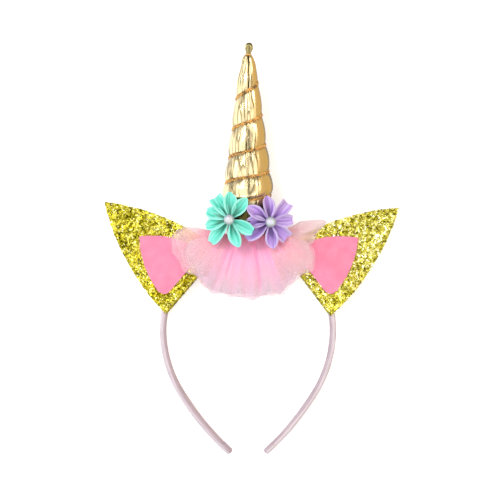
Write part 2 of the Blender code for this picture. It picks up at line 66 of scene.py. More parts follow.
class Held(Enum):
    """How a sheet of cloth is held."""

    GATHERED = "gathered"
    FOLDED = "folded"
    LAID = "laid"


class Slot(Enum):
    """The record's material slots."""

    BAND = "satin_ribbon"
    HORN = "gold_cloth"
    THREAD = "thread"
    GLITTER = "glitter_sheet"
    FELT = "pink_felt"
    TULLE = "tulle"
    TEAL = "teal_ribbon"
    PURPLE = "purple_ribbon"
    PEARL = "pearl"


# ---- Tools for materials ----

# a node: its name in its table, its kind, its settings and its links, each of which says node.socket
Row = Tuple[str, str, Dict[Any, Any], Dict[Any, str]]
MULTIPLIED = {"data_type": "RGBA", "blend_type": "MULTIPLY"}
PLACE: Tuple[Row, ...] = (("place", "TexCoord", {}, {}),)
CLOTH_PLACE: Tuple[Row, ...] = (
    ("place", "Attribute", {"attribute_name": CLOTH}, {}),
    ("apart", "SeparateXYZ", {}, {"Vector": "place.Vector"}),
)


def linear(code: str) -> Tuple[float, float, float, float]:
    """Turns an sRGB hex code into a linear colour.

    Args:
        code: six hex digits.

    Returns:
        Red, green, blue and an alpha of 1.
    """
    parts = [int(code[i : i + 2], 16) / 255 for i in (0, 2, 4)]
    red, green, blue = [p / 12.92 if p <= 0.04045 else ((p + 0.055) / 1.055) ** 2.4 for p in parts]
    return red, green, blue, 1.0


def add(tree: bpy.types.NodeTree, kind: str, settings: Dict[Any, Any], links: Dict[Any, Any]) -> bpy.types.Node:
    """Adds a node with its settings and links.

    Args:
        tree: the node tree it goes into.
        kind: the node's type, without the ShaderNode that all of them start with.
        settings: values by socket name, socket number or property; "stops" holds a ramp's places and hex codes.
        links: sockets to take values from, by the socket's name or number.

    Returns:
        The new node.
    """
    made = tree.nodes.new("ShaderNode" + kind)
    for name, value in settings.items():
        if name == "stops":
            ramp = made.color_ramp
            while len(ramp.elements) < len(value):
                ramp.elements.new(0.5)
            for element, (place, code) in zip(ramp.elements, value):
                element.position, element.color = place, linear(code)
        elif isinstance(name, int) or name in made.inputs:
            made.inputs[name].default_value = value
        else:
            setattr(made, name, value)
    for name, source in links.items():
        tree.links.new(source, made.inputs[name])
    return made


def wire(tree: bpy.types.NodeTree, rows: Sequence[Row], shader: bpy.types.Node, ends: Dict[str, str]) -> None:
    """Adds a table of nodes and links it to a shader.

    Args:
        tree: the node tree they go into.
        rows: the nodes; a link names one of a row above.
        shader: the shader at the end.
        ends: the links into the shader, by its sockets' names.
    """
    made: Dict[str, bpy.types.Node] = {}

    def socket(path: str) -> bpy.types.NodeSocket:
        """The output that noise.Fac or sum.0 names."""
        node, output = path.split(".")
        return made[node].outputs[int(output) if output.isdigit() else output]

    for name, kind, settings, links in rows:
        made[name] = add(tree, kind, settings, {key: socket(path) for key, path in links.items()})
    for key, path in ends.items():
        tree.links.new(socket(path), shader.inputs[key])


def make_material(name: str, constants: Dict[str, Any], rows: Sequence[Row], ends: Dict[str, str]) -> Material:
    """Makes a material from a table of nodes.

    Args:
        name: the material's name.
        constants: values set on the shader, by its sockets' names.
        rows: the nodes, as wire takes them.
        ends: the links into the shader.

    Returns:
        The material.
    """
    made = bpy.data.materials.new(name)
    made.use_nodes = True
    shader = made.node_tree.nodes["Principled BSDF"]
    for socket, value in constants.items():
        shader.inputs[socket].default_value = value
    wire(made.node_tree, rows, shader, ends)
    return made


def stretched(across_mm: float, times: float) -> Tuple[Row, ...]:
    """Nodes that give places on the cloth in units of a pattern that is drawn out along it.

    Args:
        across_mm: the pattern's unit across the cloth.
        times: how many times longer it is along the cloth.

    Returns:
        The rows, whose last is called where.
    """
    return (
        ("across", "Math", {"operation": "DIVIDE", 1: across_mm}, {0: "apart.X"}),
        ("along", "Math", {"operation": "DIVIDE", 1: across_mm * times}, {0: "apart.Y"}),
        ("where", "CombineXYZ", {}, {"X": "across.0", "Y": "along.0"}),
    )


# ---- Tools for shapes ----


def hills(x: Array, y: Array, seed: int, around: int = 0) -> Array:
    """Soft random hills of about one unit across.

    Args:
        x: places across.
        y: places along.
        seed: another number gives other hills.
        around: how many units across meet again, or 0 where they don't.

    Returns:
        Heights from -1 to 1.
    """
    x, y = np.broadcast_arrays(np.asarray(x, float), np.asarray(y, float))
    left, low = np.floor(x), np.floor(y)
    across, up = x - left, y - low
    across, up = across * across * (3 - 2 * across), up * up * (3 - 2 * up)

    def corner(i: Array, j: Array) -> Array:
        """The random height of a corner."""
        i = np.mod(i, around) if around else i
        return np.mod(np.sin(i * 127.1 + j * 311.7 + seed * 74.7) * 43758.5453, 1.0) * 2 - 1

    bottom = corner(left, low) * (1 - across) + corner(left + 1, low) * across
    top = corner(left, low + 1) * (1 - across) + corner(left + 1, low + 1) * across
    return bottom * (1 - up) + top * up


def ease(share: Array) -> Array:
    """0 to 1 with level ends."""
    share = np.clip(share, 0.0, 1.0)
    return share * share * (3 - 2 * share)


def unit(ways: Array) -> Array:
    """Each way with a length of 1."""
    return ways / np.linalg.norm(ways, axis=1)[:, None]


def rotate(x: Array, y: Array, angle: float) -> Tuple[Array, Array]:
    """X and Y turned anticlockwise by an angle in radians."""
    cos, sin = np.cos(angle), np.sin(angle)
    return x * cos - y * sin, x * sin + y * cos


def steps(points: Array) -> Array:
    """The distances from each point, or row of points, to the next."""
    return np.linalg.norm(np.diff(points, axis=0), axis=-1)


def lengths(points: Array) -> Array:
    """How far along a line each of its points is."""
    return np.concatenate([[0.0], np.cumsum(steps(points))])


def round_angles(count: int) -> Array:
    """Even angles all round, in radians."""
    return np.linspace(0.0, 2 * math.pi, count, endpoint=False)


def smoothed(values: Array, before: Array, after: Array, kernel: Array) -> Array:
    """Values with their corners rounded.

    Args:
        values: the values.
        before: what goes on before them.
        after: what goes on after them.
        kernel: the weights of neighbours.

    Returns:
        As many values as came in.
    """
    return np.convolve(np.concatenate([before, values, after]), kernel, mode="valid")


def stacked(*parts: Array) -> Array:
    """Points from their X, Y and Z, which may have one row or one column."""
    return np.stack(np.broadcast_arrays(*parts), axis=-1)


def arc(start: Sequence[float], end: Sequence[float], bulge: float, count: int) -> Array:
    """Points of an arc that bulges to the right of the way.

    Args:
        start: where it starts.
        end: where it ends.
        bulge: how far its middle is from the straight line.
        count: how many pieces it has.

    Returns:
        The points, both ends included.
    """
    start, end = np.array(start, float), np.array(end, float)
    chord = end - start
    length = float(np.hypot(*chord))
    radius = (length**2 / 4 + bulge**2) / (2 * bulge)
    half = math.asin(min(1.0, length / 2 / radius))
    along = chord / length
    out = np.array([along[1], -along[0]])
    middle = (start + end) / 2 + out * (bulge - radius)
    angles = np.linspace(-half, half, count + 1)[:, None]
    return middle + radius * (along * np.sin(angles) + out * np.cos(angles))


def grid_faces(rows: int, columns: int, closed: bool = False, first: int = 0) -> List[Tuple[int, ...]]:
    """The quads of a grid of points.

    Args:
        rows: how many rows it has.
        columns: how many points a row has.
        closed: whether each row is a ring.
        first: the number of its first point.

    Returns:
        The corners of each quad.
    """
    faces = []
    for i in range(rows - 1):
        for j in range(columns if closed else columns - 1):
            a, b = first + i * columns + j, first + i * columns + (j + 1) % columns
            faces.append((a, b, b + columns, a + columns))
    return faces


def tube_faces(rows: int, columns: int, first: int = 0, turned: bool = False) -> List[Tuple[int, ...]]:
    """The faces of rings of points, with one face over each end.

    Args:
        rows: how many rings there are.
        columns: how many points a ring has.
        first: the number of the first point.
        turned: whether the rings run the other way round.

    Returns:
        The corners of each face.
    """
    faces = grid_faces(rows, columns, True, first)
    faces.append(tuple(range(first, first + columns))[::-1])
    faces.append(tuple(range(first + (rows - 1) * columns, first + rows * columns)))
    return [face[::-1] for face in faces] if turned else faces


def make_piece(
    name: str,
    points: Array,
    faces: Sequence[Sequence[int]],
    finishes: Sequence[Material],
    cloth: Optional[Array] = None,
    smooth: bool = True,
) -> Piece:
    """Makes a mesh object.

    Args:
        name: the piece's name.
        points: its points in the maker's frame, in millimetres.
        faces: the corners of each face.
        finishes: its materials; the first is on every face.
        cloth: each point's place on the cloth and its shade.
        smooth: whether the faces are shaded as one surface.

    Returns:
        The object.
    """
    placed = (np.asarray(points, float).reshape(-1, 3) + ORIGIN) * MM
    data = bpy.data.meshes.new(name)
    data.from_pydata(placed.tolist(), [], [tuple(face) for face in faces])
    if cloth is not None:
        store = data.attributes.new(CLOTH, "FLOAT_VECTOR", "POINT")
        store.data.foreach_set("vector", np.asarray(cloth, float).reshape(-1, 3).astype(np.float32).ravel())
    data.polygons.foreach_set("use_smooth", [smooth] * len(data.polygons))
    for finish in finishes:
        data.materials.append(finish)
    data.update()
    made = bpy.data.objects.new(name, data)
    bpy.context.scene.collection.objects.link(made)
    return made


def cloth_places(points: Array, shade: Array) -> Array:
    """Where each point of a grid lies on its cloth.

    Args:
        points: rows of points, in millimetres.
        shade: each point's shade, from 0 to 1.

    Returns:
        Millimetres across and along, and the shade, for each point.
    """
    width = np.linalg.norm(np.diff(points, axis=1), axis=2).sum(axis=1).mean()
    along = np.concatenate([[0.0], np.cumsum(steps(points).mean(axis=1))])[:, None]
    return stacked(np.linspace(0.0, width, points.shape[1]), along, shade)


def make_sheet(name: str, points: Array, shade: Array, finishes: Sequence[Material]) -> Piece:
    """Makes a mesh object from a grid of points.

    Args:
        name: the piece's name.
        points: rows of points, in millimetres.
        shade: each point's shade.
        finishes: its materials.

    Returns:
        The object.
    """
    return make_piece(name, points, grid_faces(*points.shape[:2]), finishes, cloth_places(points, shade))


def thicken(piece: Piece, thickness: float, offset: float = 0.0, rim: int = 0) -> None:
    """Gives a sheet its thickness.

    Args:
        piece: the sheet.
        thickness: in millimetres.
        offset: -1 to put it all behind the surface, 1 in front of it.
        rim: how many materials further the cut edge's is.
    """
    wall = piece.modifiers.new("Thickness", "SOLIDIFY")
    wall.thickness = thickness * MM
    wall.offset = offset
    wall.use_even_offset = False
    wall.material_offset_rim = rim


def round_edges(piece: Piece, width: float, segments: int) -> None:
    """Rounds the cut edges of a sheet.

    Args:
        piece: the sheet.
        width: how wide the rounding is, in millimetres.
        segments: how many faces it has.
    """
    edge = piece.modifiers.new("Edge", "BEVEL")
    edge.width = width * MM
    edge.segments = segments
    edge.limit_method = "ANGLE"
    edge.angle_limit = math.radians(50)


def settle(piece: Piece, slot: Slot, *replaced: str) -> None:
    """Fixes a finished piece to the headband.

    Args:
        piece: the piece.
        slot: not used.
        replaced: the CAD nodes it stands for.
    """
    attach(piece, BODY)
    if replaced:
        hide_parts(*replaced)
    LOG.info("%s: %d faces", piece.name, len(piece.data.polygons))


def declare_sheet(piece: Piece) -> None:
    """Works out half the area of a sheet's faces, which nothing keeps.

    Args:
        piece: the sheet.
    """
    bpy.context.view_layer.update()
    shown = piece.evaluated_get(bpy.context.evaluated_depsgraph_get())
    area = sum(face.area for face in shown.to_mesh().polygons) / 2
    shown.to_mesh_clear()


# ---- Finishes ----


@dataclass(frozen=True)
class SatinRibbon:
    """Polyester satin ribbon, woven: long floating threads along it give a soft streak of gloss."""

    name: str
    face: str
    fold: str
    light: str
    thread_mm: float = 0.55  # real threads are 0.1 mm, too fine to show, so bundles of them are drawn
    roughness: float = 0.34

    def build(self) -> Material:
        """Makes the material: a painted highlight where it bends out, painted shade in its folds, and thread
        streaks of painted sheen.

        Returns:
            The material.
        """
        # light is a painted highlight tone and fold a painted shade tone, picked by each point's stored shade
        tones = [(0.0, self.light), (0.28, self.face), (1.0, self.fold)]
        gloss = {"To Min": self.roughness - 0.06, "To Max": self.roughness + 0.12}
        rows = (
            *CLOTH_PLACE,
            *stretched(self.thread_mm, 40),
            ("threads", "TexNoise", {"Scale": 1.0, "Detail": 3.0, "Roughness": 0.6}, {"Vector": "where.0"}),
            ("tone", "ValToRGB", {"stops": tones}, {"Fac": "apart.Z"}),
            # the streaks darken the colour between the threads' floats: painted sheen, besides the real change of
            # gloss
            ("streaks", "ValToRGB", {"stops": [(0.34, "B0B0B0"), (0.60, "FFFFFF")]}, {"Fac": "threads.Fac"}),
            ("streaked", "Mix", {**MULTIPLIED, 0: 0.6}, {6: "tone.Color", 7: "streaks.Color"}),
            ("gloss", "MapRange", gloss, {"Value": "threads.Fac"}),
            ("bump", "Bump", {"Strength": 0.35, "Distance": 0.0001}, {"Height": "threads.Fac"}),
        )
        constants = {"Sheen Weight": 0.25, "Sheen Roughness": 0.4, "Anisotropic": 0.5, "Specular IOR Level": 0.55}
        ends = {"Base Color": "streaked.2", "Roughness": "gloss.Result", "Normal": "bump.Normal"}
        return make_material(self.name, constants, rows, ends)


@dataclass(frozen=True)
class FoilCloth:
    """Lame: cloth with a rolled metal foil face, which breaks the light into small crumpled mirrors."""

    name: str
    face: str
    groove: str
    crease_mm: float = 5.6
    weave_mm: float = 0.5  # real foil yarns are 0.2 mm, too fine to show
    taut_mm: Tuple[float, float] = (13.0, 7.0)  # the middle and half width of the part without creases

    def build(self) -> Material:
        """Makes the material: crumpled metal, with painted shade in its creases and where the thread pulls it in.

        Returns:
            The material.
        """
        crumple = {"Scale": 1.0, "Detail": 2.0, "Roughness": 0.5, "Distortion": 0.15}
        middle, half = self.taut_mm
        # groove is the colour of painted shade: in creases, in the thread's groove and on the shadowed neck
        tones = {"data_type": "RGBA", 6: linear(self.face), 7: linear(self.groove)}
        deep = {"operation": "MULTIPLY_ADD", 1: 0.8, "use_clamp": True}
        rows = (
            *CLOTH_PLACE,
            *stretched(self.crease_mm, 7),
            ("creases", "TexNoise", crumple, {"Vector": "where.0"}),
            ("weave", "TexNoise", {"Scale": 1 / self.weave_mm, "Detail": 2.0}, {"Vector": "place.Vector"}),
            # a crease is where the noise passes its middle value; it is sunk, and painted shade darkens it
            ("level", "Math", {"operation": "SUBTRACT", 1: 0.5}, {0: "creases.Fac"}),
            ("away", "Math", {"operation": "ABSOLUTE"}, {0: "level.0"}),
            ("line", "MapRange", {"From Max": 0.06, "To Min": 1.0, "To Max": 0.0}, {"Value": "away.0"}),
            ("taut", "Math", {"operation": "COMPARE", 1: middle, 2: half}, {0: "apart.X"}),
            ("slack", "Math", {"operation": "SUBTRACT", 0: 1.0}, {1: "taut.0"}),
            ("drawn", "Math", {"operation": "MULTIPLY"}, {0: "line.Result", 1: "slack.0"}),
            ("dark", "Math", deep, {0: "drawn.0", 2: "apart.Z"}),
            ("tone", "Mix", tones, {0: "dark.0"}),
            ("height", "Math", {"operation": "MULTIPLY"}, {0: "drawn.0", 1: "away.0"}),
            ("sunk", "Math", {"operation": "SUBTRACT"}, {0: "height.0", 1: "drawn.0"}),
            ("gloss", "MapRange", {"To Min": 0.12, "To Max": 0.26}, {"Value": "weave.Fac"}),
            ("fine", "Bump", {"Strength": 0.25, "Distance": 0.00012}, {"Height": "weave.Fac"}),
            ("bump", "Bump", {"Strength": 0.6, "Distance": 0.0003}, {"Height": "sunk.0", "Normal": "fine.Normal"}),
        )
        ends = {"Base Color": "tone.2", "Roughness": "gloss.Result", "Normal": "bump.Normal"}
        return make_material(self.name, {"Metallic": 0.92, "Anisotropic": 0.25}, rows, ends)


@dataclass(frozen=True)
class GlitterFoam:
    """EVA foam coated with cut PET glitter: between the flakes that stand up, smaller ones lie flat."""

    name: str
    tones: Ramp
    grit_mm: float = 0.8

    def build(self) -> Material:
        """Makes the material: cells as big as the small flakes, each with its own slant and a tone, from dark to
        glinting, that is painted reflection.

        Returns:
            The material.
        """
        rows = (
            *PLACE,
            ("cells", "TexVoronoi", {"Scale": 1000 / self.grit_mm}, {"Vector": "place.Object"}),
            ("tone", "SeparateColor", {}, {"Color": "cells.Color"}),
            ("colour", "ValToRGB", {"stops": self.tones}, {"Fac": "tone.Red"}),
            ("gloss", "MapRange", {"To Min": 0.22, "To Max": 0.55}, {"Value": "tone.Green"}),
            ("bump", "Bump", {"Strength": 0.8, "Distance": 0.0004}, {"Height": "tone.Blue"}),
        )
        ends = {"Base Color": "colour.Color", "Roughness": "gloss.Result", "Normal": "bump.Normal"}
        return make_material(self.name, {"Metallic": 0.7, "Coat Weight": 0.2}, rows, ends)


@dataclass(frozen=True)
class GlitterFlake:
    """Metallised PET film, cut into hexagons: each flake is one small flat mirror of its own tone."""

    name: str
    tones: Ramp
    tints: Ramp = ((0.0, "FFFFFF"), (0.5, "FFFC90"), (1.0, "FFDC84"))  # lemon to ochre

    def build(self) -> Material:
        """Makes the material, which reads the gloss, tint and tone that are stored with each flake.

        Returns:
            The material.
        """
        rows = (
            *CLOTH_PLACE,
            # the stored tone is painted reflection: how much light each flake seems to catch
            ("colour", "ValToRGB", {"stops": self.tones}, {"Fac": "apart.Z"}),
            ("tint", "ValToRGB", {"stops": self.tints}, {"Fac": "apart.Y"}),
            ("tinted", "Mix", {**MULTIPLIED, 0: 1.0}, {6: "colour.Color", 7: "tint.Color"}),
            ("gloss", "MapRange", {"To Min": 0.18, "To Max": 0.42}, {"Value": "apart.X"}),
        )
        ends = {"Base Color": "tinted.2", "Roughness": "gloss.Result"}
        return make_material(self.name, {"Metallic": 1.0}, rows, ends)


@dataclass(frozen=True)
class CutFoam:
    """EVA foam, cut with a knife: fine open bubbles make the edge matt."""

    name: str
    face: str
    pit_shade: str
    bubble_mm: float = 0.35

    def build(self) -> Material:
        """Makes the material: a plain matt colour, with painted shade in its pits.

        Returns:
            The material.
        """
        tones = {"data_type": "RGBA", 6: linear(self.pit_shade), 7: linear(self.face)}
        rows = (
            *PLACE,
            ("pits", "TexVoronoi", {"Scale": 1000 / self.bubble_mm}, {"Vector": "place.Object"}),
            ("colour", "Mix", tones, {0: "pits.Distance"}),
            ("bump", "Bump", {"Strength": 0.4, "Distance": 0.0002}, {"Height": "pits.Distance"}),
        )
        return make_material(
            self.name, {"Roughness": 0.85}, rows, {"Base Color": "colour.2", "Normal": "bump.Normal"}
        )


@dataclass(frozen=True)
class Felt:
    """Polyester felt, needled: short fibres in all directions, matt with a soft bloom at its edges."""

    name: str
    face: str
    light: str
    fibre_mm: float = 0.5

    def build(self) -> Material:
        """Makes the material: two scales of fibre clumps in colour and bump.

        Returns:
            The material.
        """
        fine = {"Scale": 1000 / self.fibre_mm, "Detail": 4.0, "Roughness": 0.7, "Distortion": 1.2}
        mixed = {"operation": "MULTIPLY_ADD", 1: 0.35}
        rows = (
            *PLACE,
            ("fibres", "TexNoise", fine, {"Vector": "place.Object"}),
            ("clumps", "TexNoise", {"Scale": 140.0, "Detail": 3.0}, {"Vector": "place.Object"}),
            ("both", "Math", mixed, {0: "fibres.Fac", 2: "clumps.Fac"}),
            ("colour", "ValToRGB", {"stops": [(0.42, self.face), (0.95, self.light)]}, {"Fac": "both.0"}),
            ("bump", "Bump", {"Strength": 0.5, "Distance": 0.00025}, {"Height": "fibres.Fac"}),
        )
        constants = {"Roughness": 0.92, "Sheen Weight": 0.35, "Sheen Roughness": 0.55, "Specular IOR Level": 0.15}
        return make_material(self.name, constants, rows, {"Base Color": "colour.Color", "Normal": "bump.Normal"})


@dataclass(frozen=True)
class Tulle:
    """Nylon tulle, a knitted net: what is behind it shows through, and its folds get painted shade in a deeper
    colour.
    """

    name: str
    gather: str
    middle: str
    hem: str
    cover: float  # how much of what is behind it one face hides
    mesh_mm: float = 0.9  # a real net's holes are 0.4 mm, too fine to show, so they are drawn larger and faintly

    def build(self) -> Material:
        """Makes the material: denser and deeper at the gather, paler at the hem, with painted shade in its folds
        and its net drawn faintly.

        Returns:
            The material.
        """
        tones = [(0.08, self.gather), (0.5, self.middle), (0.97, self.hem)]
        folded = {"data_type": "RGBA", 7: linear(self.gather)}
        net = {"Scale": 1 / self.mesh_mm, "feature": "DISTANCE_TO_EDGE"}
        strands = {"From Max": 0.28, "To Min": self.cover + 0.04, "To Max": self.cover - 0.02}
        gathered = {"From Min": 0.0, "From Max": 0.6, "To Min": 0.35, "To Max": 0.0}
        total = {"operation": "ADD", "use_clamp": True}
        rows = (
            *CLOTH_PLACE,
            ("out", "Math", {"operation": "DIVIDE", 1: NET_REACH}, {0: "apart.Y"}),
            ("where", "CombineXYZ", {}, {"X": "apart.X", "Y": "out.0"}),
            ("streaks", "TexNoise", {"Scale": 0.4, "Detail": 3.0}, {"Vector": "where.0"}),
            ("shifted", "Math", {"operation": "MULTIPLY_ADD", 1: 0.5, 2: -0.25}, {0: "streaks.Fac"}),
            ("depth", "Math", {"operation": "ADD"}, {0: "out.0", 1: "shifted.0"}),
            ("colour", "ValToRGB", {"stops": tones}, {"Fac": "depth.0"}),
            # painted shade: each point's stored shade draws it towards the gather's deeper colour
            ("shaded", "Mix", folded, {0: "apart.Z", 6: "colour.Color"}),
            ("net", "TexVoronoi", net, {"Vector": "place.Vector"}),
            ("cover", "MapRange", strands, {"Value": "net.Distance"}),
            ("dense", "MapRange", gathered, {"Value": "depth.0"}),
            ("alpha", "Math", total, {0: "cover.Result", 1: "dense.Result"}),
            ("edge", "MapRange", {"From Min": 0.965, "To Max": 0.1}, {"Value": "out.0"}),
            ("hemmed", "Math", total, {0: "alpha.0", 1: "edge.Result"}),
        )
        constants = {"Roughness": 0.75, "Sheen Weight": 0.3, "Sheen Roughness": 0.4, "Specular IOR Level": 0.2}
        return make_material(self.name, constants, rows, {"Base Color": "shaded.2", "Alpha": "hemmed.0"})


@dataclass(frozen=True)
class PearlBead:
    """ABS bead, moulded and dipped in pearl lacquer: a soft milky gloss with a faint rim of colour and painted
    shade.
    """

    name: str
    face: str
    rim: str

    def build(self) -> Material:
        """Makes the material: a pale body under a clear coat, greyer where it turns away: partly the lacquer's rim
        of colour, partly painted shade.

        Returns:
            The material.
        """
        rows = (
            *PLACE,
            ("turn", "LayerWeight", {"Blend": 0.45}, {}),
            ("colour", "ValToRGB", {"stops": [(0.15, self.face), (0.8, self.rim)]}, {"Fac": "turn.Facing"}),
            ("clouds", "TexNoise", {"Scale": 300.0}, {"Vector": "place.Object"}),
            ("cloudy", "Mix", {**MULTIPLIED, 0: 0.5}, {6: "colour.Color", 7: "clouds.Color"}),
        )
        constants = {"Roughness": 0.28, "Coat Weight": 1.0, "Coat Roughness": 0.06, "Specular IOR Level": 0.6}
        return make_material(self.name, {**constants, "Metallic": 0.1}, rows, {"Base Color": "cloudy.2"})


@dataclass(frozen=True)
class SewingThread:
    """Polyester thread, spun and plied: matt, with darker lines between its plies."""

    name: str
    face: str
    dark: str

    def build(self) -> Material:
        """Makes the material: fibres in a darker and a lighter tone, mixed at random.

        Returns:
            The material.
        """
        rows = (
            *PLACE,
            ("fibres", "TexNoise", {"Scale": 450.0, "Detail": 3.0}, {"Vector": "place.Object"}),
            ("colour", "ValToRGB", {"stops": [(0.36, self.dark), (0.58, self.face)]}, {"Fac": "fibres.Fac"}),
        )
        constants = {"Roughness": 0.6, "Sheen Weight": 0.3}
        return make_material(self.name, constants, rows, {"Base Color": "colour.Color"})


@dataclass(frozen=True)
class LightTable:
    """Opal acrylic sheet, cast and lit from below: a plain pale floor on which shadows stay faint."""

    name: str
    face: str
    glow: float = 0.36

    def build(self) -> Material:
        """Makes the material: matt, with a grain that hardly shows.

        Returns:
            The material.
        """
        white = linear("FFFFFF")
        rows = (
            *PLACE,
            ("grain", "TexNoise", {"Scale": 900.0}, {"Vector": "place.Object"}),
            ("colour", "Mix", {"data_type": "RGBA", 6: linear(self.face), 7: white}, {0: "grain.Fac"}),
        )
        glowing = {"Emission Color": white, "Emission Strength": self.glow}
        constants = {"Roughness": 0.9, "Specular IOR Level": 0.2, **glowing}
        return make_material(self.name, constants, rows, {"Base Color": "colour.2"})


# the glitter's tones are painted reflection: the dark ones stand for flakes that turn the light away, the lightest
# for glints
TONE_PLACES = (0.00, 0.20, 0.45, 0.66, 0.84, 0.97)
GLITTER_TONES = tuple(zip(TONE_PLACES, ("4C4600", "867D04", "AFA30E", "CCBF28", "E8DB58", "FFFDC8")))
FLAKE_TONES = tuple(zip(TONE_PLACES, ("4A4604", "847C18", "AEA53A", "CCC262", "EAE192", "FFFDE4")))


def once(finish: Any) -> Any:
    """A field that is one finish's material."""
    return field(default_factory=finish.build)


@dataclass
class Finishes:
    """Every material of the headband, made once."""

    # each satin ribbon's second colour is painted shade for its folds and its third a painted highlight; on the
    # band they draw the lap lighter and the strip it leaves bare darker
    band: Material = once(
        SatinRibbon("Satin_ribbon_pale_pink", "D2BBC6", "A38C99", "E3D5DD", roughness=0.42)
    )
    teal: Material = once(SatinRibbon("Satin_ribbon_teal", "64F0D8", "0F8E70", "98FAE8"))
    purple: Material = once(SatinRibbon("Satin_ribbon_purple", "BC8FE8", "4A1C76", "D2BAF4"))
    # the horn's second colour is painted shade; the tip is the same gold cloth, drawn as a darker, olive copy in
    # painted shade
    horn: Material = once(FoilCloth("Foil_cloth_champagne_gold", "E9D3A4", "4A421E"))
    tip: Material = once(FoilCloth("Foil_cloth_gold_in_painted_shade", "ADA070", "3A3008"))
    thread: Material = once(SewingThread("Thread_polyester_orange_brown", "EFB045", "7A500F"))
    glitter: Material = once(GlitterFoam("Glitter_foam_gold", GLITTER_TONES))
    flake: Material = once(GlitterFlake("Glitter_flakes_gold", FLAKE_TONES))
    foam: Material = once(CutFoam("Foam_cut_edge", "D8CA5A", "8F7F1C"))
    felt: Material = once(Felt("Felt_pink", "F284A6", "F998B8"))
    tulle: Material = once(Tulle("Tulle_pink", "FFB0DA", "FABFDC", "DFC9D6", 0.34))
    tulle_side: Material = once(Tulle("Tulle_rose_pink", "FA9DBE", "F8BFCC", "EBCBD3", 0.24))
    organza: Material = once(Tulle("Tulle_dusty_pink", "F38DA6", "EDBBC2", "DABFC2", 0.44))
    pearl: Material = once(PearlBead("Pearl_bead", "DCE6EC", "94A0B2"))


# ---- The band ----


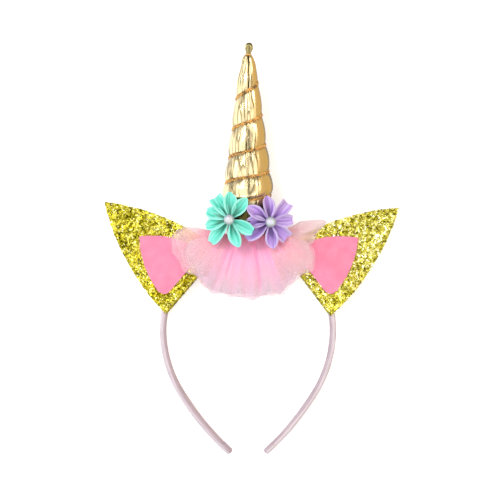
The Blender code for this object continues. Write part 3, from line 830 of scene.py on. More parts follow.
@dataclass
class Band:
    """The hair band: a plastic core wrapped in one ribbon, whose edge laps along the front."""

    finishes: Finishes
    half_width: float = 60.9
    rise: float = 68.0
    thickness: float = 4.4
    depth: float = 6.0
    legs: Tuple[Tuple[float, float], ...] = ((84.5, 31.2), (195.0, 16.4))
    lap: float = 0.22
    lap_side: float = -0.28  # where the lap's edge is on the front, from -1 inside to 1 outside
    taper: float = 0.14  # how much thinner the legs' ends are, as a share
    taper_from: float = -60.0
    taper_over: float = 40.0
    twist_from: float = -8.0
    twist_over: float = 50.0
    round_length: float = 1.7  # how long the rounding of its ends is
    end_grow: float = 0.10  # how much larger the ribbon's folded ends are
    squareness: float = 3.2
    twist_left: float = 20.0  # degrees that the left leg's lower part shows of its inner side
    around: int = 44

    def route(self) -> Array:
        """The centreline from the left end to the right end, about every 1.2 mm.

        Returns:
            The points, with X and Y.
        """
        angles = np.linspace(0.0, math.pi / 2, 70)
        right = [np.column_stack([self.half_width * np.sin(angles), self.rise * np.cos(angles)])]
        start, turned = right[0][-1], 0.0
        for radius, turn in self.legs:
            more = turned + np.radians(turn) * np.linspace(0.0, 1.0, 48)[1:]
            centre = start - radius * np.array([math.cos(turned), -math.sin(turned)])
            right.append(centre + radius * np.column_stack([np.cos(more), -np.sin(more)]))
            start, turned = right[-1][-1], turned + math.radians(turn)
        half = np.concatenate(right)
        return np.concatenate([half[:0:-1] * [-1, 1], half])

    def rings(self, route: Array, grow: float) -> Tuple[Array, Array]:
        """Rings of points round the route.

        Args:
            route: the centreline.
            grow: how much larger than the band they are all round.

        Returns:
            The rings, and the shade of each point.
        """
        ahead = unit(np.gradient(route, axis=0))
        angle = round_angles(self.around)
        cos, sin = np.cos(angle), np.sin(angle)
        x, z = (np.sign(way) * np.abs(way) ** (2 / self.squareness) for way in (cos, sin))
        taper = 1 - self.taper * ease((self.taper_from - route[:, 1]) / self.taper_over)[:, None]
        lapped = ((x > self.lap_side) & (z > 0)) | (z <= 0)
        length = lengths(route)[:, None]
        swell = 0.07 * hills(angle * 1.3, length / 5.5, 3) + 0.05 * hills(angle, length / 2.1, 5)
        out = (self.thickness / 2 * taper + grow) * x + (self.lap * lapped + swell) * cos
        front = (self.depth / 2 * taper + grow) * z + (self.lap * lapped + swell) * sin
        low = ease((self.twist_from - route[:, 1]) / self.twist_over) * (route[:, 0] < 0)
        turn = -np.radians(self.twist_left * low)[:, None]
        across, up = rotate(out, front, turn)
        flat = (route[:, 0, None] - ahead[:, 1, None] * across, route[:, 1, None] + ahead[:, 0, None] * across)
        # the lap is drawn in the ribbon's light tone and the strip it leaves bare in a darker one
        shade = np.where(lapped, 0.08, 0.66) + 0.1 * hills(angle, length / 7, 9)
        return stacked(*flat, BAND_MIDDLE + up), np.clip(shade, 0, 1)

    def close(self, rings: Array, shade: Array, end: int) -> Tuple[Array, Array]:
        """Rounds one end of the rings to a point.

        Args:
            rings: the rings.
            shade: their shades.
            end: 0 for the first ring, -1 for the last.

        Returns:
            The rings and shades with the rounded end.
        """
        centre, other = rings[end].mean(axis=0), rings[1 if end == 0 else -2].mean(axis=0)
        ahead = (centre - other) / np.linalg.norm(centre - other)
        caps = []
        for share in (0.35, 0.7, 0.92, 1.0):
            size = max(math.sqrt(1 - share**2), 0.02)
            caps.append(centre + (rings[end] - centre) * size + ahead * self.round_length * share)
        caps = np.array(caps if end else caps[::-1])
        tones = np.repeat(shade[end][None, :], len(caps), axis=0)
        joined = [rings, caps] if end else [caps, rings]
        shades = [shade, tones] if end else [tones, shade]
        return np.concatenate(joined), np.concatenate(shades)

    def tube(self, name: str, route: Array, grow: float, ends: Sequence[int]) -> Piece:
        """One closed tube round the route.

        Args:
            name: the piece's name.
            route: the centreline.
            grow: how much larger than the band it is all round.
            ends: which ends are rounded, 0 for the first and -1 for the last; the other is flat.

        Returns:
            The piece.
        """
        rings, shade = self.rings(route, grow)
        for end in ends:
            rings, shade = self.close(rings, shade, end)
        faces = tube_faces(len(rings), self.around)
        return make_piece(name, rings, faces, [self.finishes.band], cloth_places(rings, shade))

    def build(self) -> None:
        """Makes the wrapped band and the ribbon's folded ends."""
        route = self.route()
        settle(self.tube("band_ribbon", route, 0.0, (0, -1)), Slot.BAND, "headband")
        for name, part, end in (("left", route[:7], 0), ("right", route[-7:], -1)):
            settle(self.tube(f"band_end_{name}", part, self.end_grow, (end,)), Slot.BAND)


# ---- The ears ----


@dataclass
class Ear:
    """One ear: a leaf of glitter sheet folded round the band and glued to itself, with a felt inner ear."""

    finishes: Finishes
    name: str
    side: int
    corner: Tuple[float, float]  # the fold's inner end
    fold_angle: float
    seed: int
    sheet: float = 1.8
    base: float = 59.5
    height: float = 86.0
    bulge: float = 6.5
    lean: float = 2.6  # how far the tip is off the middle
    nose: float = 2.0  # the radius of the bends round the band
    front: float = 10.2  # the front's height where it leaves the band
    high_to: float = 17.0  # it stays that high up to here,
    low_from: float = 40.0  # and from here on it is glued to the back
    curl: float = 1.1  # how far the tip curls up
    crumple: float = 0.25
    felt: float = 1.2
    glue: float = 0.42  # between the sheet and the felt
    felt_puff: float = 0.12
    felt_from: float = 8.7
    felt_half_base: float = 21.0
    felt_height: float = 42.2
    felt_bulge: float = 3.4
    felt_corner: float = 5.5
    flake_size: Tuple[float, float] = (0.42, 0.92)
    flakes: Tuple[int, int, int] = (8600, 560, 2600)  # tries on the front, the fold and the back
    under_felt: float = 1.5  # how far in under the felt's edges there are flakes
    bare: Tuple[float, float] = (10.0, 46.0)  # from where to where the felt leaves none
    flake_depth: Tuple[float, float] = (0.05, 0.08)  # how far a flake's faces are in front of and behind its place
    painted_lightness: float = 0.0  # how much painted light lightens its flakes
    pale: float = 0.0  # how far painted glare turns its flakes from yellow to lemon towards the tip
    felt_move: Tuple[float, float] = (0.0, 0.0)  # how far off centre the felt was glued, along the fold and away

    def place(self, u: Array, d: Array, z: Array) -> Array:
        """Turns the ear's own places into the maker's frame.

        Args:
            u: along the fold.
            d: away from the fold.
            z: above the surface.

        Returns:
            The points.
        """
        turn = math.radians(self.fold_angle)
        x, y = rotate(u, d, self.side * turn)
        half = self.base / 2
        x, y = x + self.corner[0] + half * self.side * math.cos(turn), y + self.corner[1] + half * math.sin(turn)
        return stacked(x, y, z)

    def between(self, edges: Tuple[Array, Array], share: Array) -> Array:
        """Rows of places between a left and a right edge."""
        return edges[0][:, None] + (edges[1] - edges[0])[:, None] * share

    def front_height(self, d: Array) -> Array:
        """The front's height above the surface at a distance from the fold."""
        share = ease((d - self.high_to) / (self.low_from - self.high_to))
        return self.front + (2 * self.sheet + 0.1 - self.front) * share

    def warp(self, u: Array, d: Array) -> Array:
        """How far the glued leaf curls up from the surface."""
        crumple = self.crumple * (1 + hills(u / 22, d / 22, self.seed)) * ease((d - 30) / 30)
        return self.curl * ease((d - 45) / 45) ** 2 + crumple

    def limits(self, d: Array) -> Tuple[Array, Array]:
        """The leaf's edges.

        Args:
            d: distances from the fold.

        Returns:
            The left and the right edge's places along the fold.
        """
        tip = (self.lean * self.side, self.height)
        right = arc((self.base / 2, 0.0), tip, self.bulge, 120)
        left = arc(tip, (-self.base / 2, 0.0), self.bulge, 120)[::-1]
        return np.interp(d, left[:, 1], left[:, 0]), np.interp(d, right[:, 1], right[:, 0])

    def profile(self) -> Tuple[Array, Array]:
        """The way of the sheet's middle, from the back's tip round the fold to the front's tip.

        Returns:
            Distances from the fold, and heights.
        """
        half, r = self.sheet / 2, self.nose
        far = np.concatenate([np.linspace(r, self.height - 2, 44), [self.height - 0.9, self.height - 0.25]])
        quarter = np.radians(np.linspace(0, 90, 6))[1:]
        inner = r - half
        low_d, low_z = r - inner * np.sin(quarter), r - inner * np.cos(quarter)
        top = self.front - r
        high_d, high_z = r - inner * np.cos(quarter), top + inner * np.sin(quarter)
        wall = np.linspace(r, top, 5)[1:]
        d = np.concatenate([far[::-1], low_d, np.full(4, half), high_d, far[1:]])
        back = np.full(len(far), half)
        return d, np.concatenate([back, low_z, wall, high_z, self.front_height(far[1:]) - half])

    def build_leaf(self) -> None:
        """Makes the folded sheet."""
        d, z = self.profile()
        edges = self.limits(np.maximum(d, 0.0))
        columns = 37
        u, d = self.between(edges, np.linspace(0.0, 1.0, columns)), d[:, None]
        points = self.place(u, d, z[:, None] + self.warp(u, d))
        finishes = [self.finishes.glitter, self.finishes.foam]
        piece = make_sheet(f"ear_{self.name}_sheet", points, np.zeros(u.shape), finishes)
        thicken(piece, self.sheet, rim=1)
        round_edges(piece, 0.22, 2)
        settle(piece, Slot.GLITTER, f"ear_{self.name}")
        declare_sheet(piece)

    def scatter(self, chance: np.random.Generator, count: int, stop: float, gap: float) -> Tuple[Array, Array]:
        """Random places on a leaf.

        Args:
            chance: where the random numbers come from.
            count: how many to try.
            stop: how far below the leaf's tip they end.
            gap: how far they stay from its edges.

        Returns:
            Places along the fold and away from it.
        """
        d = chance.uniform(self.nose, self.height - stop, count)
        u = chance.uniform(-self.base / 2 - 4, self.base / 2 + 4, count)
        left, right = self.limits(d)
        keep = (u > left + gap) & (u < right - gap)
        return u[keep], d[keep]

    def flake_places(self, chance: np.random.Generator) -> Tuple[Array, Array]:
        """Random places for the flakes on the front, the fold and the back, but none under the felt.

        Args:
            chance: where the random numbers come from.

        Returns:
            The places, and the way that each of them faces.
        """
        on_front, on_fold, on_back = self.flakes
        u, d = self.scatter(chance, on_front, 0.6, 0.2)
        off_u, off_d = self.felt_move
        left, right = self.felt_limits(d - off_d)
        low, high = self.bare
        inside = (u - off_u > left + self.under_felt) & (u - off_u < right - self.under_felt)
        free = ~(inside & (d > low) & (d < high))
        u, d = u[free], d[free]
        slope = self.front_height(d + 0.5) - self.front_height(d - 0.5)
        front = self.place(u, d, self.front_height(d) + self.warp(u, d) + 0.02)
        faces_up = self.place(u, d - slope, np.ones(len(d))) - self.place(u, d, np.zeros(len(d)))

        u = chance.uniform(-self.base / 2, self.base / 2, on_fold)
        z = chance.uniform(0.4, self.front - 0.2, on_fold)
        over, under = np.maximum(z - (self.front - self.nose), 0), np.maximum(self.nose - z, 0)
        d = self.nose - np.sqrt(np.maximum(self.nose**2 - np.maximum(over, under) ** 2, 0.0))
        fold = self.place(u, d, z)
        lift = np.where(over > 0, over, -under) / self.nose
        faces_out = self.place(u, d - np.sqrt(1 - lift**2), z + lift) - fold

        u, d = self.scatter(chance, on_back, 1.0, 0.3)
        back = self.place(u, d, self.warp(u, d) + 0.03)
        faces_down = np.tile([0.0, 0.0, -1.0], (len(u), 1))
        return np.concatenate([front, fold, back]), np.concatenate([faces_up, faces_out, faces_down])

    def build_flakes(self) -> None:
        """Makes the hexagonal flakes that stand up from the sheet."""
        places, facing = self.flake_places(np.random.default_rng(self.seed))
        chance = np.random.default_rng(self.seed + 50)
        count = len(places)
        spread = np.where(facing[:, 2] < -0.5, 0.03, 0.30)[:, None]
        facing = unit(unit(facing) + chance.normal(0.0, 1.0, (count, 3)) * spread)
        other = unit(np.cross(facing, chance.normal(0.0, 1.0, (count, 3))))
        size = chance.uniform(*self.flake_size, count)[:, None, None]
        angles = np.radians(np.arange(6) * 60.0)[:, None]
        ring = other[:, None] * np.cos(angles) + np.cross(facing, other)[:, None] * np.sin(angles)
        above, below = self.flake_depth
        layers = (places[:, None] + ring * size + facing[:, None] * lift for lift in (above, -below))
        points = np.concatenate(list(layers), axis=1)
        faces = []
        for a in range(0, 12 * count, 12):
            faces += [tuple(range(a, a + 6)), tuple(range(a + 11, a + 5, -1))]
            faces += [(a + k, a + 6 + k, a + 6 + (k + 1) % 6, a + (k + 1) % 6) for k in range(6)]
        # painted reflection: flakes that lie together get alike tones, light and dark in patches, as if they
        # tilted alike
        x, y = places[:, 0], places[:, 1]
        patch = 0.5 * hills(x / 2.0, y / 2.0, self.seed + 7) + 0.1 * hills(x / 9, y / 9, self.seed + 8)
        tone = np.clip(0.44 + self.painted_lightness + patch + 0.23 * chance.normal(0.0, 1.0, count), 0, 1)
        gloss = chance.uniform(0, 1, count)
        warmth = hills(x / 11, y / 11, self.seed + 9) + hills(x, y, 4)
        lemon = 0.5 * self.pale * ease((y - 12.0) / 30.0)
        tint = np.clip(0.5 + 0.2 * warmth * (1 - self.pale) - lemon, 0, 1)
        cloth = np.repeat(stacked(gloss, tint, tone), 12, axis=0)
        name = f"ear_{self.name}_glitter"
        settle(make_piece(name, points, faces, [self.finishes.flake], cloth, smooth=False), Slot.GLITTER)

    def felt_limits(self, d: Array) -> Tuple[Array, Array]:
        """The felt's edges.

        Args:
            d: distances from the fold.

        Returns:
            The left and the right edge's places along the fold.
        """
        corner, low = self.felt_corner, self.felt_from
        angles = np.radians(np.linspace(-90, 0, 24))
        turn_u = self.felt_half_base - corner + corner * np.cos(angles)
        turn_d = low + corner + corner * np.sin(angles)
        side = arc((turn_u[-1], turn_d[-1]), (0.0, low + self.felt_height), self.felt_bulge, 80)
        edge = np.interp(d, np.concatenate([turn_d, side[1:, 1]]), np.concatenate([turn_u, side[1:, 0]]))
        return -edge, edge

    def build_felt(self) -> None:
        """Makes the felt inner ear, which follows the ear's front and has a soft cut edge."""
        low, high = self.felt_from, self.felt_from + self.felt_height
        d = np.concatenate([[low], low + (high - 0.25 - low) * np.linspace(0.0, 1.0, 64)[1:] ** 1.15])
        share = np.linspace(0.0, 1.0, 41)
        u, d = self.between(self.felt_limits(d), share), d[:, None]
        ragged = 0.22 * hills(d * 0.9, share * 3, self.seed + 20)
        u = u + ragged * np.sign(share - 0.5) * np.abs(2 * share - 1) ** 6
        u, d = u + self.felt_move[0], d + self.felt_move[1]
        puff = self.felt_puff * hills(u / 7, d / 7, self.seed + 21)
        z = self.front_height(d) + self.warp(u, d) + self.glue + self.felt / 2 + puff
        name = f"inner_ear_{self.name}"
        piece = make_sheet(f"{name}_felt", self.place(u, d, z), np.zeros(u.shape), [self.finishes.felt])
        thicken(piece, self.felt)
        round_edges(piece, 0.32, 3)
        settle(piece, Slot.FELT, name)
        declare_sheet(piece)

    def build(self) -> None:
        """Makes the sheet, its flakes and the felt."""
        self.build_leaf()
        self.build_flakes()
        self.build_felt()


# ---- The horn ----


@dataclass
class Horn:
    """The stuffed horn: foil cloth that a thread, wound up it, pulls in between soft folds."""

    finishes: Finishes
    length: float = 126.0
    radius: float = 18.2
    groove: float = 2.4
    base: float = BAND_TOP + 0.3
    band_half_width: float = 63.4  # where the foot follows the band's curve
    axis: float = 17.62  # the height of its axis above the surface
    first: float = 22.4  # where the thread first passes the front
    pitch: float = 15.6
    growth: float = 1.0  # each turn climbs twice this more than the one before
    from_turn: float = -0.35
    to_turn: float = 4.85
    facets: int = 24
    facet_height: float = 0.42
    pucker_height: float = 0.26
    seam_depth: float = 0.8
    seam_from: float = 98.0
    pleats: int = 9
    pleat_height: float = 0.34
    pleats_from: float = 112.0
    neck_to: float = 17.0  # up to here the cloth is drawn in, with painted shadow on it
    thread: float = 2.6
    ply_turn: float = 3.2  # how far along the thread its plies take to go round once
    around: int = 150
    rows: int = 380
    # shares of the length, and the share of the radius at each
    places: Tuple[float, ...] = (-0.04, 0.13, 0.165, 0.19, 0.24, 0.378, 0.532, 0.709, 0.869, 0.955, 0.99, 1.00)
    sizes: Tuple[float, ...] = (0.82, 0.83, 0.90, 0.97, 1.00, 0.865, 0.72, 0.56, 0.41, 0.29, 0.20, 0.15)

    def turns(self, height: Array) -> Array:
        """How many turns the thread has made when it passes the front at this height."""
        root = self.pitch**2 + 4 * self.growth * (height - self.first)
        return (np.sqrt(np.maximum(root, 0.0)) - self.pitch) / (2 * self.growth)

    def full(self, height: Array) -> Array:
        """The radius over the folds.

        Args:
            height: heights above the band.

        Returns:
            The radius at each.
        """
        fine = np.linspace(-0.04, 1.0, 521)
        size = np.interp(fine, self.places, self.sizes)
        after = size[-1] + (size[-1] - size[-2]) * np.arange(1, 9)
        soft = smoothed(size, np.full(8, size[0]), after, np.hanning(19)[1:-1] / np.hanning(19).sum())
        return self.radius * np.interp(height / self.length, fine, soft)

    def wound(self, height: Array) -> Array:
        """1 where the thread is wound, 0 above and below it."""
        turns = self.turns(height)
        return ease((turns - self.from_turn) / 0.35 + 0.5) * ease((self.to_turn + 0.25 - turns) / 0.5)

    def surface(self, height: Array, angle: Array) -> Tuple[Array, Array]:
        """The cloth's radius and shade.

        Args:
            height: heights above the band.
            angle: angles in radians, 0 at the front and growing to the right.

        Returns:
            The radius, and the shade, which is 1 deep in a groove.
        """
        full = self.full(height)
        phase = self.turns(height) - angle / (2 * math.pi)
        share = np.mod(phase, 1.0)
        pitch = self.pitch + 2 * self.growth * np.maximum(self.turns(height), 0.0)
        away = np.minimum(share, 1 - share) * pitch
        pillow = np.sin(math.pi * share) ** 0.6
        wound = self.wound(height)
        depth = self.groove * np.sqrt(full / self.radius) * wound
        around = angle / (2 * math.pi) * self.facets
        fold = np.floor(phase)
        # facets run up the horn, and start afresh in each fold
        broad = hills(around + 3.7 * fold, height / 12.0 + fold, 11)
        narrow = hills(around * 2.5 + 1.7 * fold, height / 11.0 + fold * 2.3, 12)
        ridge = 0.8 * broad + 0.15 * narrow
        # the cloth is taut on the right, where no creases break its face
        ridge = ridge * (1 - 0.85 * ease((np.sin(angle) - 0.42) / 0.1) * (np.cos(angle) > 0))
        pucker = 1 - 2 * np.abs(hills(around * 3.6, height / 12 + fold * 1.7, 13))
        body = ease(away / 3.0)
        radius = full - depth * (1 - pillow) + self.facet_height * ridge * body * np.sqrt(full / self.radius)
        radius = radius + self.pucker_height * pucker * np.exp(-away / 2.0) * wound
        # the seam at the front of the tip, and the pleats where the cloth is pinched together
        x = full * np.sin(angle)
        front = np.cos(angle) > 0
        seam = np.exp(-(((x - 0.3) / 0.42) ** 2)) * ease((height - self.seam_from) / 6) * front
        pleats = ease((height - self.pleats_from) / 14) * np.cos(self.pleats * angle + 1.2 * np.sin(2 * angle))
        radius = radius - self.seam_depth * seam + self.pleat_height * pleats
        # painted shade in the thread's groove and a painted shadow on the drawn-in neck under the lowest fold; the
        # seam is a dark line
        painted_neck_shadow = 1 - ease((height - self.neck_to) / 6)
        shade = np.exp(-((away / 1.5) ** 2)) * wound * 0.4 + 0.85 * seam + painted_neck_shadow
        # the valleys between the facets get painted shade too
        return radius, np.clip(shade + 0.25 * np.clip(-ridge, 0, 1) * body, 0.0, 1.0)

    def stand(self, radius: Array, angle: Array, height: Array) -> Array:
        """Turns places round the horn's own axis into the maker's frame."""
        return stacked(radius * np.sin(angle), self.base + height, self.axis + radius * np.cos(angle))

    def foot(self, x: Array) -> Array:
        """How much lower than its middle the foot is where it sits on the curve of the band."""
        return self.base * (np.sqrt(np.maximum(1 - (x / self.band_half_width) ** 2, 0.0)) - 1)

    def build_cloth(self) -> None:
        """Makes the horn's cloth as one closed, stuffed shape."""
        angle = round_angles(self.around)[None, :]
        share = np.linspace(0.0, 1.0, self.rows)[:, None]
        start = self.foot(self.full(np.zeros(1)) * np.sin(angle))
        height = start + (self.length - start) * share
        radius, shade = self.surface(height, angle)
        tuck = 0.7 * (1 - ease(share * self.length / 2.5))
        rings = self.stand(np.maximum(radius - tuck, 0.4), angle, height)
        caps = []
        for size in (0.82, 0.55, 0.28, 0.05):
            ring = self.stand((radius[:1] - 0.7) * size, angle, 0.0)
            ring[:, :, 1] = self.base + self.foot(ring[:, :, 0])
            caps.append(ring)
        top = ((0.7, 0.5), (0.25, 0.7))
        ends = [self.stand(radius[-1:] * size, angle, height[-1:] + rise) for size, rise in top]
        points = np.concatenate([*caps[::-1], rings, *ends])
        shades = np.concatenate([np.zeros((4, self.around)), shade, np.repeat(shade[-1:], 2, axis=0)])
        faces = tube_faces(len(points), self.around, turned=True)
        cloth = stacked(angle * 13.0, points[:, :, 1], shades)  # the horn's mean radius is about 13 mm
        piece = make_piece("horn_cloth", points, faces, [self.finishes.horn], cloth)
        settle(piece, Slot.HORN, "horn")

    def thread_route(self) -> Array:
        """The thread's way up the groove, in even steps.

        Returns:
            The points.
        """
        turns = np.linspace(self.from_turn, self.to_turn - 0.18, 900)  # it ends behind the horn
        height = self.first + self.pitch * turns + self.growth * turns**2
        full = self.full(height)
        depth = self.groove * np.sqrt(full / self.radius) * self.wound(height)
        route = self.stand(full - depth + 0.12, 2 * math.pi * turns, height)
        length = lengths(route)
        even = np.linspace(0.0, length[-1], 1500)
        return np.column_stack([np.interp(even, length, route[:, k]) for k in range(3)])

    def build_thread(self) -> None:
        """Makes the thread: two plies twisted round each other."""
        route = self.thread_route()
        ahead = unit(np.gradient(route, axis=0))
        out = route * [1, 0, 1] - [0, 0, self.axis]
        out = unit(out - (out * ahead).sum(axis=1)[:, None] * ahead)
        side = np.cross(ahead, out)
        ply, sides, count = self.thread * 0.30, 7, len(route)
        ring = round_angles(sides)[:, None]
        section = ply * (np.cos(ring) * out[:, None] + np.sin(ring) * side[:, None])
        turn = 2 * math.pi * lengths(route)[:, None] / self.ply_turn
        points, faces = [], []
        for strand in range(2):
            around = turn + math.pi * strand
            centre = route + 0.85 * ply * (out * np.cos(around) + side * np.sin(around))
            points.append((centre[:, None] + section).reshape(-1, 3))
            faces += tube_faces(count, sides, strand * count * sides)
        piece = make_piece("spiral_thread_plied", np.concatenate(points), faces, [self.finishes.thread])
        settle(piece, Slot.THREAD, "spiral_thread")

    def build_tip(self) -> None:
        """Makes the pinched end of the cloth, a bunch of small folds, with the thread that ties it."""
        around, rows = 72, 46
        angle, share = round_angles(around)[None, :], np.linspace(0.0, 1.0, rows)[:, None]
        places, sizes = (0, 0.06, 0.2, 0.5, 0.75, 0.9, 0.97, 1.0), (0.62, 0.55, 0.66, 1.0, 0.98, 0.78, 0.5, 0.05)
        small = 0.1 * hills(angle / (2 * math.pi) * 10, share * 3, 31, 10)
        folds = 0.16 * np.cos(7 * angle + 2 * share) * ease((1.05 - share) / 0.4) + small
        size = np.interp(share, places, sizes) * (1 + folds)
        notch = 1.1 * np.exp(-((np.sin(angle - 0.6) / 0.5) ** 2)) * share**5
        points = stacked(
            0.25 + 0.5 * share + 2.6 * size * np.sin(angle),
            self.base + self.length + 0.2 + 9.3 * share - notch,
            self.axis - 0.2 + 2.1 * size * np.cos(angle),
        )
        # painted shade in the valleys between the small folds and where the tip meets the horn
        shade = np.clip(0.3 - 1.6 * folds + 0.4 * np.exp(-((share / 0.14) ** 2)), 0, 1)
        faces = tube_faces(rows, around, turned=True)
        piece = make_piece("horn_tip_gather", points, faces, [self.finishes.tip], cloth_places(points, shade))
        settle(piece, Slot.HORN, "horn_tip")
        self.build_tie()

    def build_tie(self) -> None:
        """Makes the thread that ties the pinched end."""
        turns, sides = np.linspace(0, 3.2 * 2 * math.pi, 120), 8
        out = stacked(np.sin(turns), 0.0, np.cos(turns))
        up = 0.35 + 0.9 * turns / turns[-1]
        route = out * [2.05, 0.0, 1.5] + stacked(0.3, self.base + self.length + up, self.axis - 0.2)
        ring = round_angles(sides)[:, None]
        tube = route[:, None] + 0.26 * (np.cos(ring) * out[:, None] + np.sin(ring) * np.array([0.0, 1.0, 0.0]))
        faces = tube_faces(len(turns), sides)
        settle(make_piece("horn_tip_tie", tube, faces, [self.finishes.thread]), Slot.THREAD)

    def build(self) -> None:
        """Makes the cloth, the thread and the pinched end."""
        self.build_cloth()
        self.build_thread()
        self.build_tip()


# ---- The tulle ----


@dataclass
class TulleLayer:
    """One gathered layer: a few plies of net that fan out from the gather."""

    finish: Material
    node: str
    step: float  # how many layers lie below it
    puff: float  # how far it stands up, as a share
    plies: int
    seed: int
    sections: Tuple[Tuple[float, float, float, float], ...]
    folds: Tuple[Tuple[float, float], ...] = ()
    reach: float = 50.0
    gather_half_width: float = 18.0
    gather_half_height: float = 1.0
    gather_below: float = 0.5
    centre_below: float = 0.2
    layer_step: float = 1.6
    lowest: float = 8.9
    hem_low: float = 8.0
    hem_high: float = 14.6
    puff_height: float = 8.0
    pleat_depth: float = 2.2
    pleat_angle: float = 14.3
    net: float = 0.22
    ply_inset: float = 0.6  # degrees by which each ply is narrower than the one behind it
    ply_short: float = 0.045  # and the share by which it is shorter
    ply_lift: float = 0.35
    crumple: float = 0.8
    curl: float = 0.8
    fold_depth: float = 1.6
    fold_width: float = 1.7  # in degrees

    def column(self, angle: Array, which: int) -> Array:
        """A column of the sections, smooth between its rows.

        Args:
            angle: the places to take it at.
            which: the column's number.

        Returns:
            Its values.
        """
        table = np.array(self.sections)
        fine = np.linspace(table[0, 0], table[-1, 0], 361)
        values, width = np.interp(fine, table[:, 0], table[:, which]), 15
        kernel = np.hanning(2 * width + 3)[1:-1]
        ends = (np.full(width, values[0]), np.full(width, values[-1]))
        return np.interp(angle, fine, smoothed(values, *ends, kernel / kernel.sum()))

    def pleat(self, angle: Array) -> Array:
        """The pleats' height from -1 to 1, the same for each layer so that they nest."""
        turn, a = 360.0 / self.pleat_angle, np.radians(angle)
        return 0.72 * np.sin(turn * a) + 0.28 * np.sin(0.62 * turn * a + 1.0)

    def ply_points(self, ply: int, columns: int, rows: int) -> Tuple[Array, Array]:
        """The points of one ply.

        Args:
            ply: 0 for the rearmost.
            columns: how many points across.
            rows: how many points from the gather to the hem.

        Returns:
            The points, and their shades.
        """
        seed = self.seed + 11 * ply
        first, last = self.sections[0][0], self.sections[-1][0]
        inset = self.ply_inset * ply
        angle = np.linspace(first + inset, last - inset, columns)[None, :]
        share = np.linspace(0.0, 1.0, rows)[:, None]
        a = np.radians(angle + 1.6 * hills(angle / 9, share * 2, seed + 1) * share)
        gather_x = self.gather_half_width * np.cos(a)
        gather_y = BAND_TOP - self.gather_below + self.gather_half_height * np.sin(a)
        scallop = 0.03 * hills(angle / 7.5, 0.0, seed + 2) + 0.008 * hills(angle / 3.2, 0.0, seed + 3)
        reach = self.reach * self.column(angle, 1) * (1 + scallop - self.ply_short * ply)
        hem_x, hem_y = reach * np.cos(a), BAND_TOP - self.centre_below + reach * np.sin(a)
        x, y = gather_x + (hem_x - gather_x) * share, gather_y + (hem_y - gather_y) * share
        start = self.lowest + self.step * self.layer_step
        end = self.hem_low + (self.hem_high - self.hem_low) * self.column(angle, 2)
        z = start + (end - start) * np.sin(math.pi / 2 * np.minimum(1.0, 1.5 * share))
        z = z + self.puff_height * self.puff * np.sin(math.pi * share**0.8)
        fold = self.pleat(angle + 0.8 * hills(share * 3, angle / 30, seed + 4))
        fine = hills(angle / 2.4 + 0.5 * hills(share * 3, angle / 11, seed + 5), share * 1.3, seed + 6)
        soft = hills(angle / 7.0, share * 2.2, seed + 7)
        depth = 0.55 * self.pleat_depth * self.column(angle, 3)
        z = z + depth * share**1.2 * fold + 0.28 * fine * share**0.6 + self.crumple * soft * share
        z = z + self.ply_lift * ply + self.curl * share**6 * hills(angle / 4.0, 0.0, seed + 8)
        # painted shade in the pleats' valleys and in the small creases
        shade = np.clip(0.06 - 0.12 * fold * share - 0.12 * fine, 0.0, 0.8) * (1 - 0.35 * share)
        for middle, end in self.folds:
            away = angle - middle
            window = ease(share / 0.2) * ease((end - share) / 0.25)
            z = z - self.fold_depth * np.exp(-((away / self.fold_width) ** 2)) * window
            # and painted shade along each sharp fold
            shade = shade + 0.75 * np.exp(-((away / 1.0) ** 2)) * window
        return stacked(x, y, z), np.clip(shade, 0.0, 1.0)

    def build(self) -> None:
        """Makes the plies, each a thin closed sheet."""
        span = self.sections[-1][0] - self.sections[0][0]
        columns, rows = int(span * 1.5) + 12, 34
        for ply in range(self.plies):
            points, shade = self.ply_points(ply, columns, rows)
            cloth = cloth_places(points, shade)
            cloth[:, :, 1] *= NET_REACH / cloth[-1, 0, 1]
            name = f"{self.node}_ply_{ply + 1}"
            piece = make_piece(name, points, grid_faces(rows, columns), [self.finish], cloth)
            thicken(piece, self.net)
            piece.visible_shadow = False  # a net scatters light on to the plies below it instead of stopping it
            settle(piece, Slot.TULLE, *([self.node] if ply == 0 else []))
            declare_sheet(piece)


# each row: degrees from the right, anticlockwise; then the reach, the height of the hem and the depth of the
# pleats there, as shares of the layer's own
TULLE_BACK = (
    (174.0, 0.90, 1.00, 0.30), (183.0, 1.14, 1.00, 0.35), (197.0, 1.09, 1.00, 0.40),
    (210.0, 1.08, 1.00, 0.45), (220.0, 0.98, 1.00, 0.50), (231.0, 1.01, 0.55, 0.70),
    (244.0, 0.96, 0.10, 0.90), (267.0, 0.925, 0.00, 1.00), (287.0, 0.92, 0.00, 1.00),
    (300.0, 1.02, 0.20, 0.90), (312.0, 0.96, 0.80, 0.60), (325.0, 1.02, 1.00, 0.40),
    (341.0, 1.00, 1.00, 0.35), (350.0, 0.86, 1.00, 0.30),
)
TULLE_FAN = (
    (212.0, 0.86, 1.45, 0.40), (224.0, 0.97, 1.35, 0.60), (238.0, 1.00, 0.85, 0.90),
    (255.0, 0.95, 0.60, 1.00), (285.0, 0.94, 0.60, 1.00), (300.0, 1.01, 0.85, 0.90),
    (313.0, 0.95, 1.35, 0.60), (325.0, 0.86, 1.45, 0.40),
)
TULLE_LOBE_LEFT = (
    (187.0, 0.86, 1.70, 0.30), (198.0, 0.96, 1.65, 0.40), (209.0, 0.95, 1.65, 0.40),
    (218.0, 0.92, 1.70, 0.40), (230.0, 0.84, 1.60, 0.40),
)
TULLE_LOBE_RIGHT = (
    (306.0, 0.82, 1.60, 0.40), (319.0, 0.92, 1.70, 0.40), (325.0, 1.02, 1.65, 0.40),
    (331.0, 1.08, 1.65, 0.40), (340.0, 1.03, 1.65, 0.40), (347.0, 0.94, 1.65, 0.40),
    (352.0, 0.82, 1.70, 0.30),
)
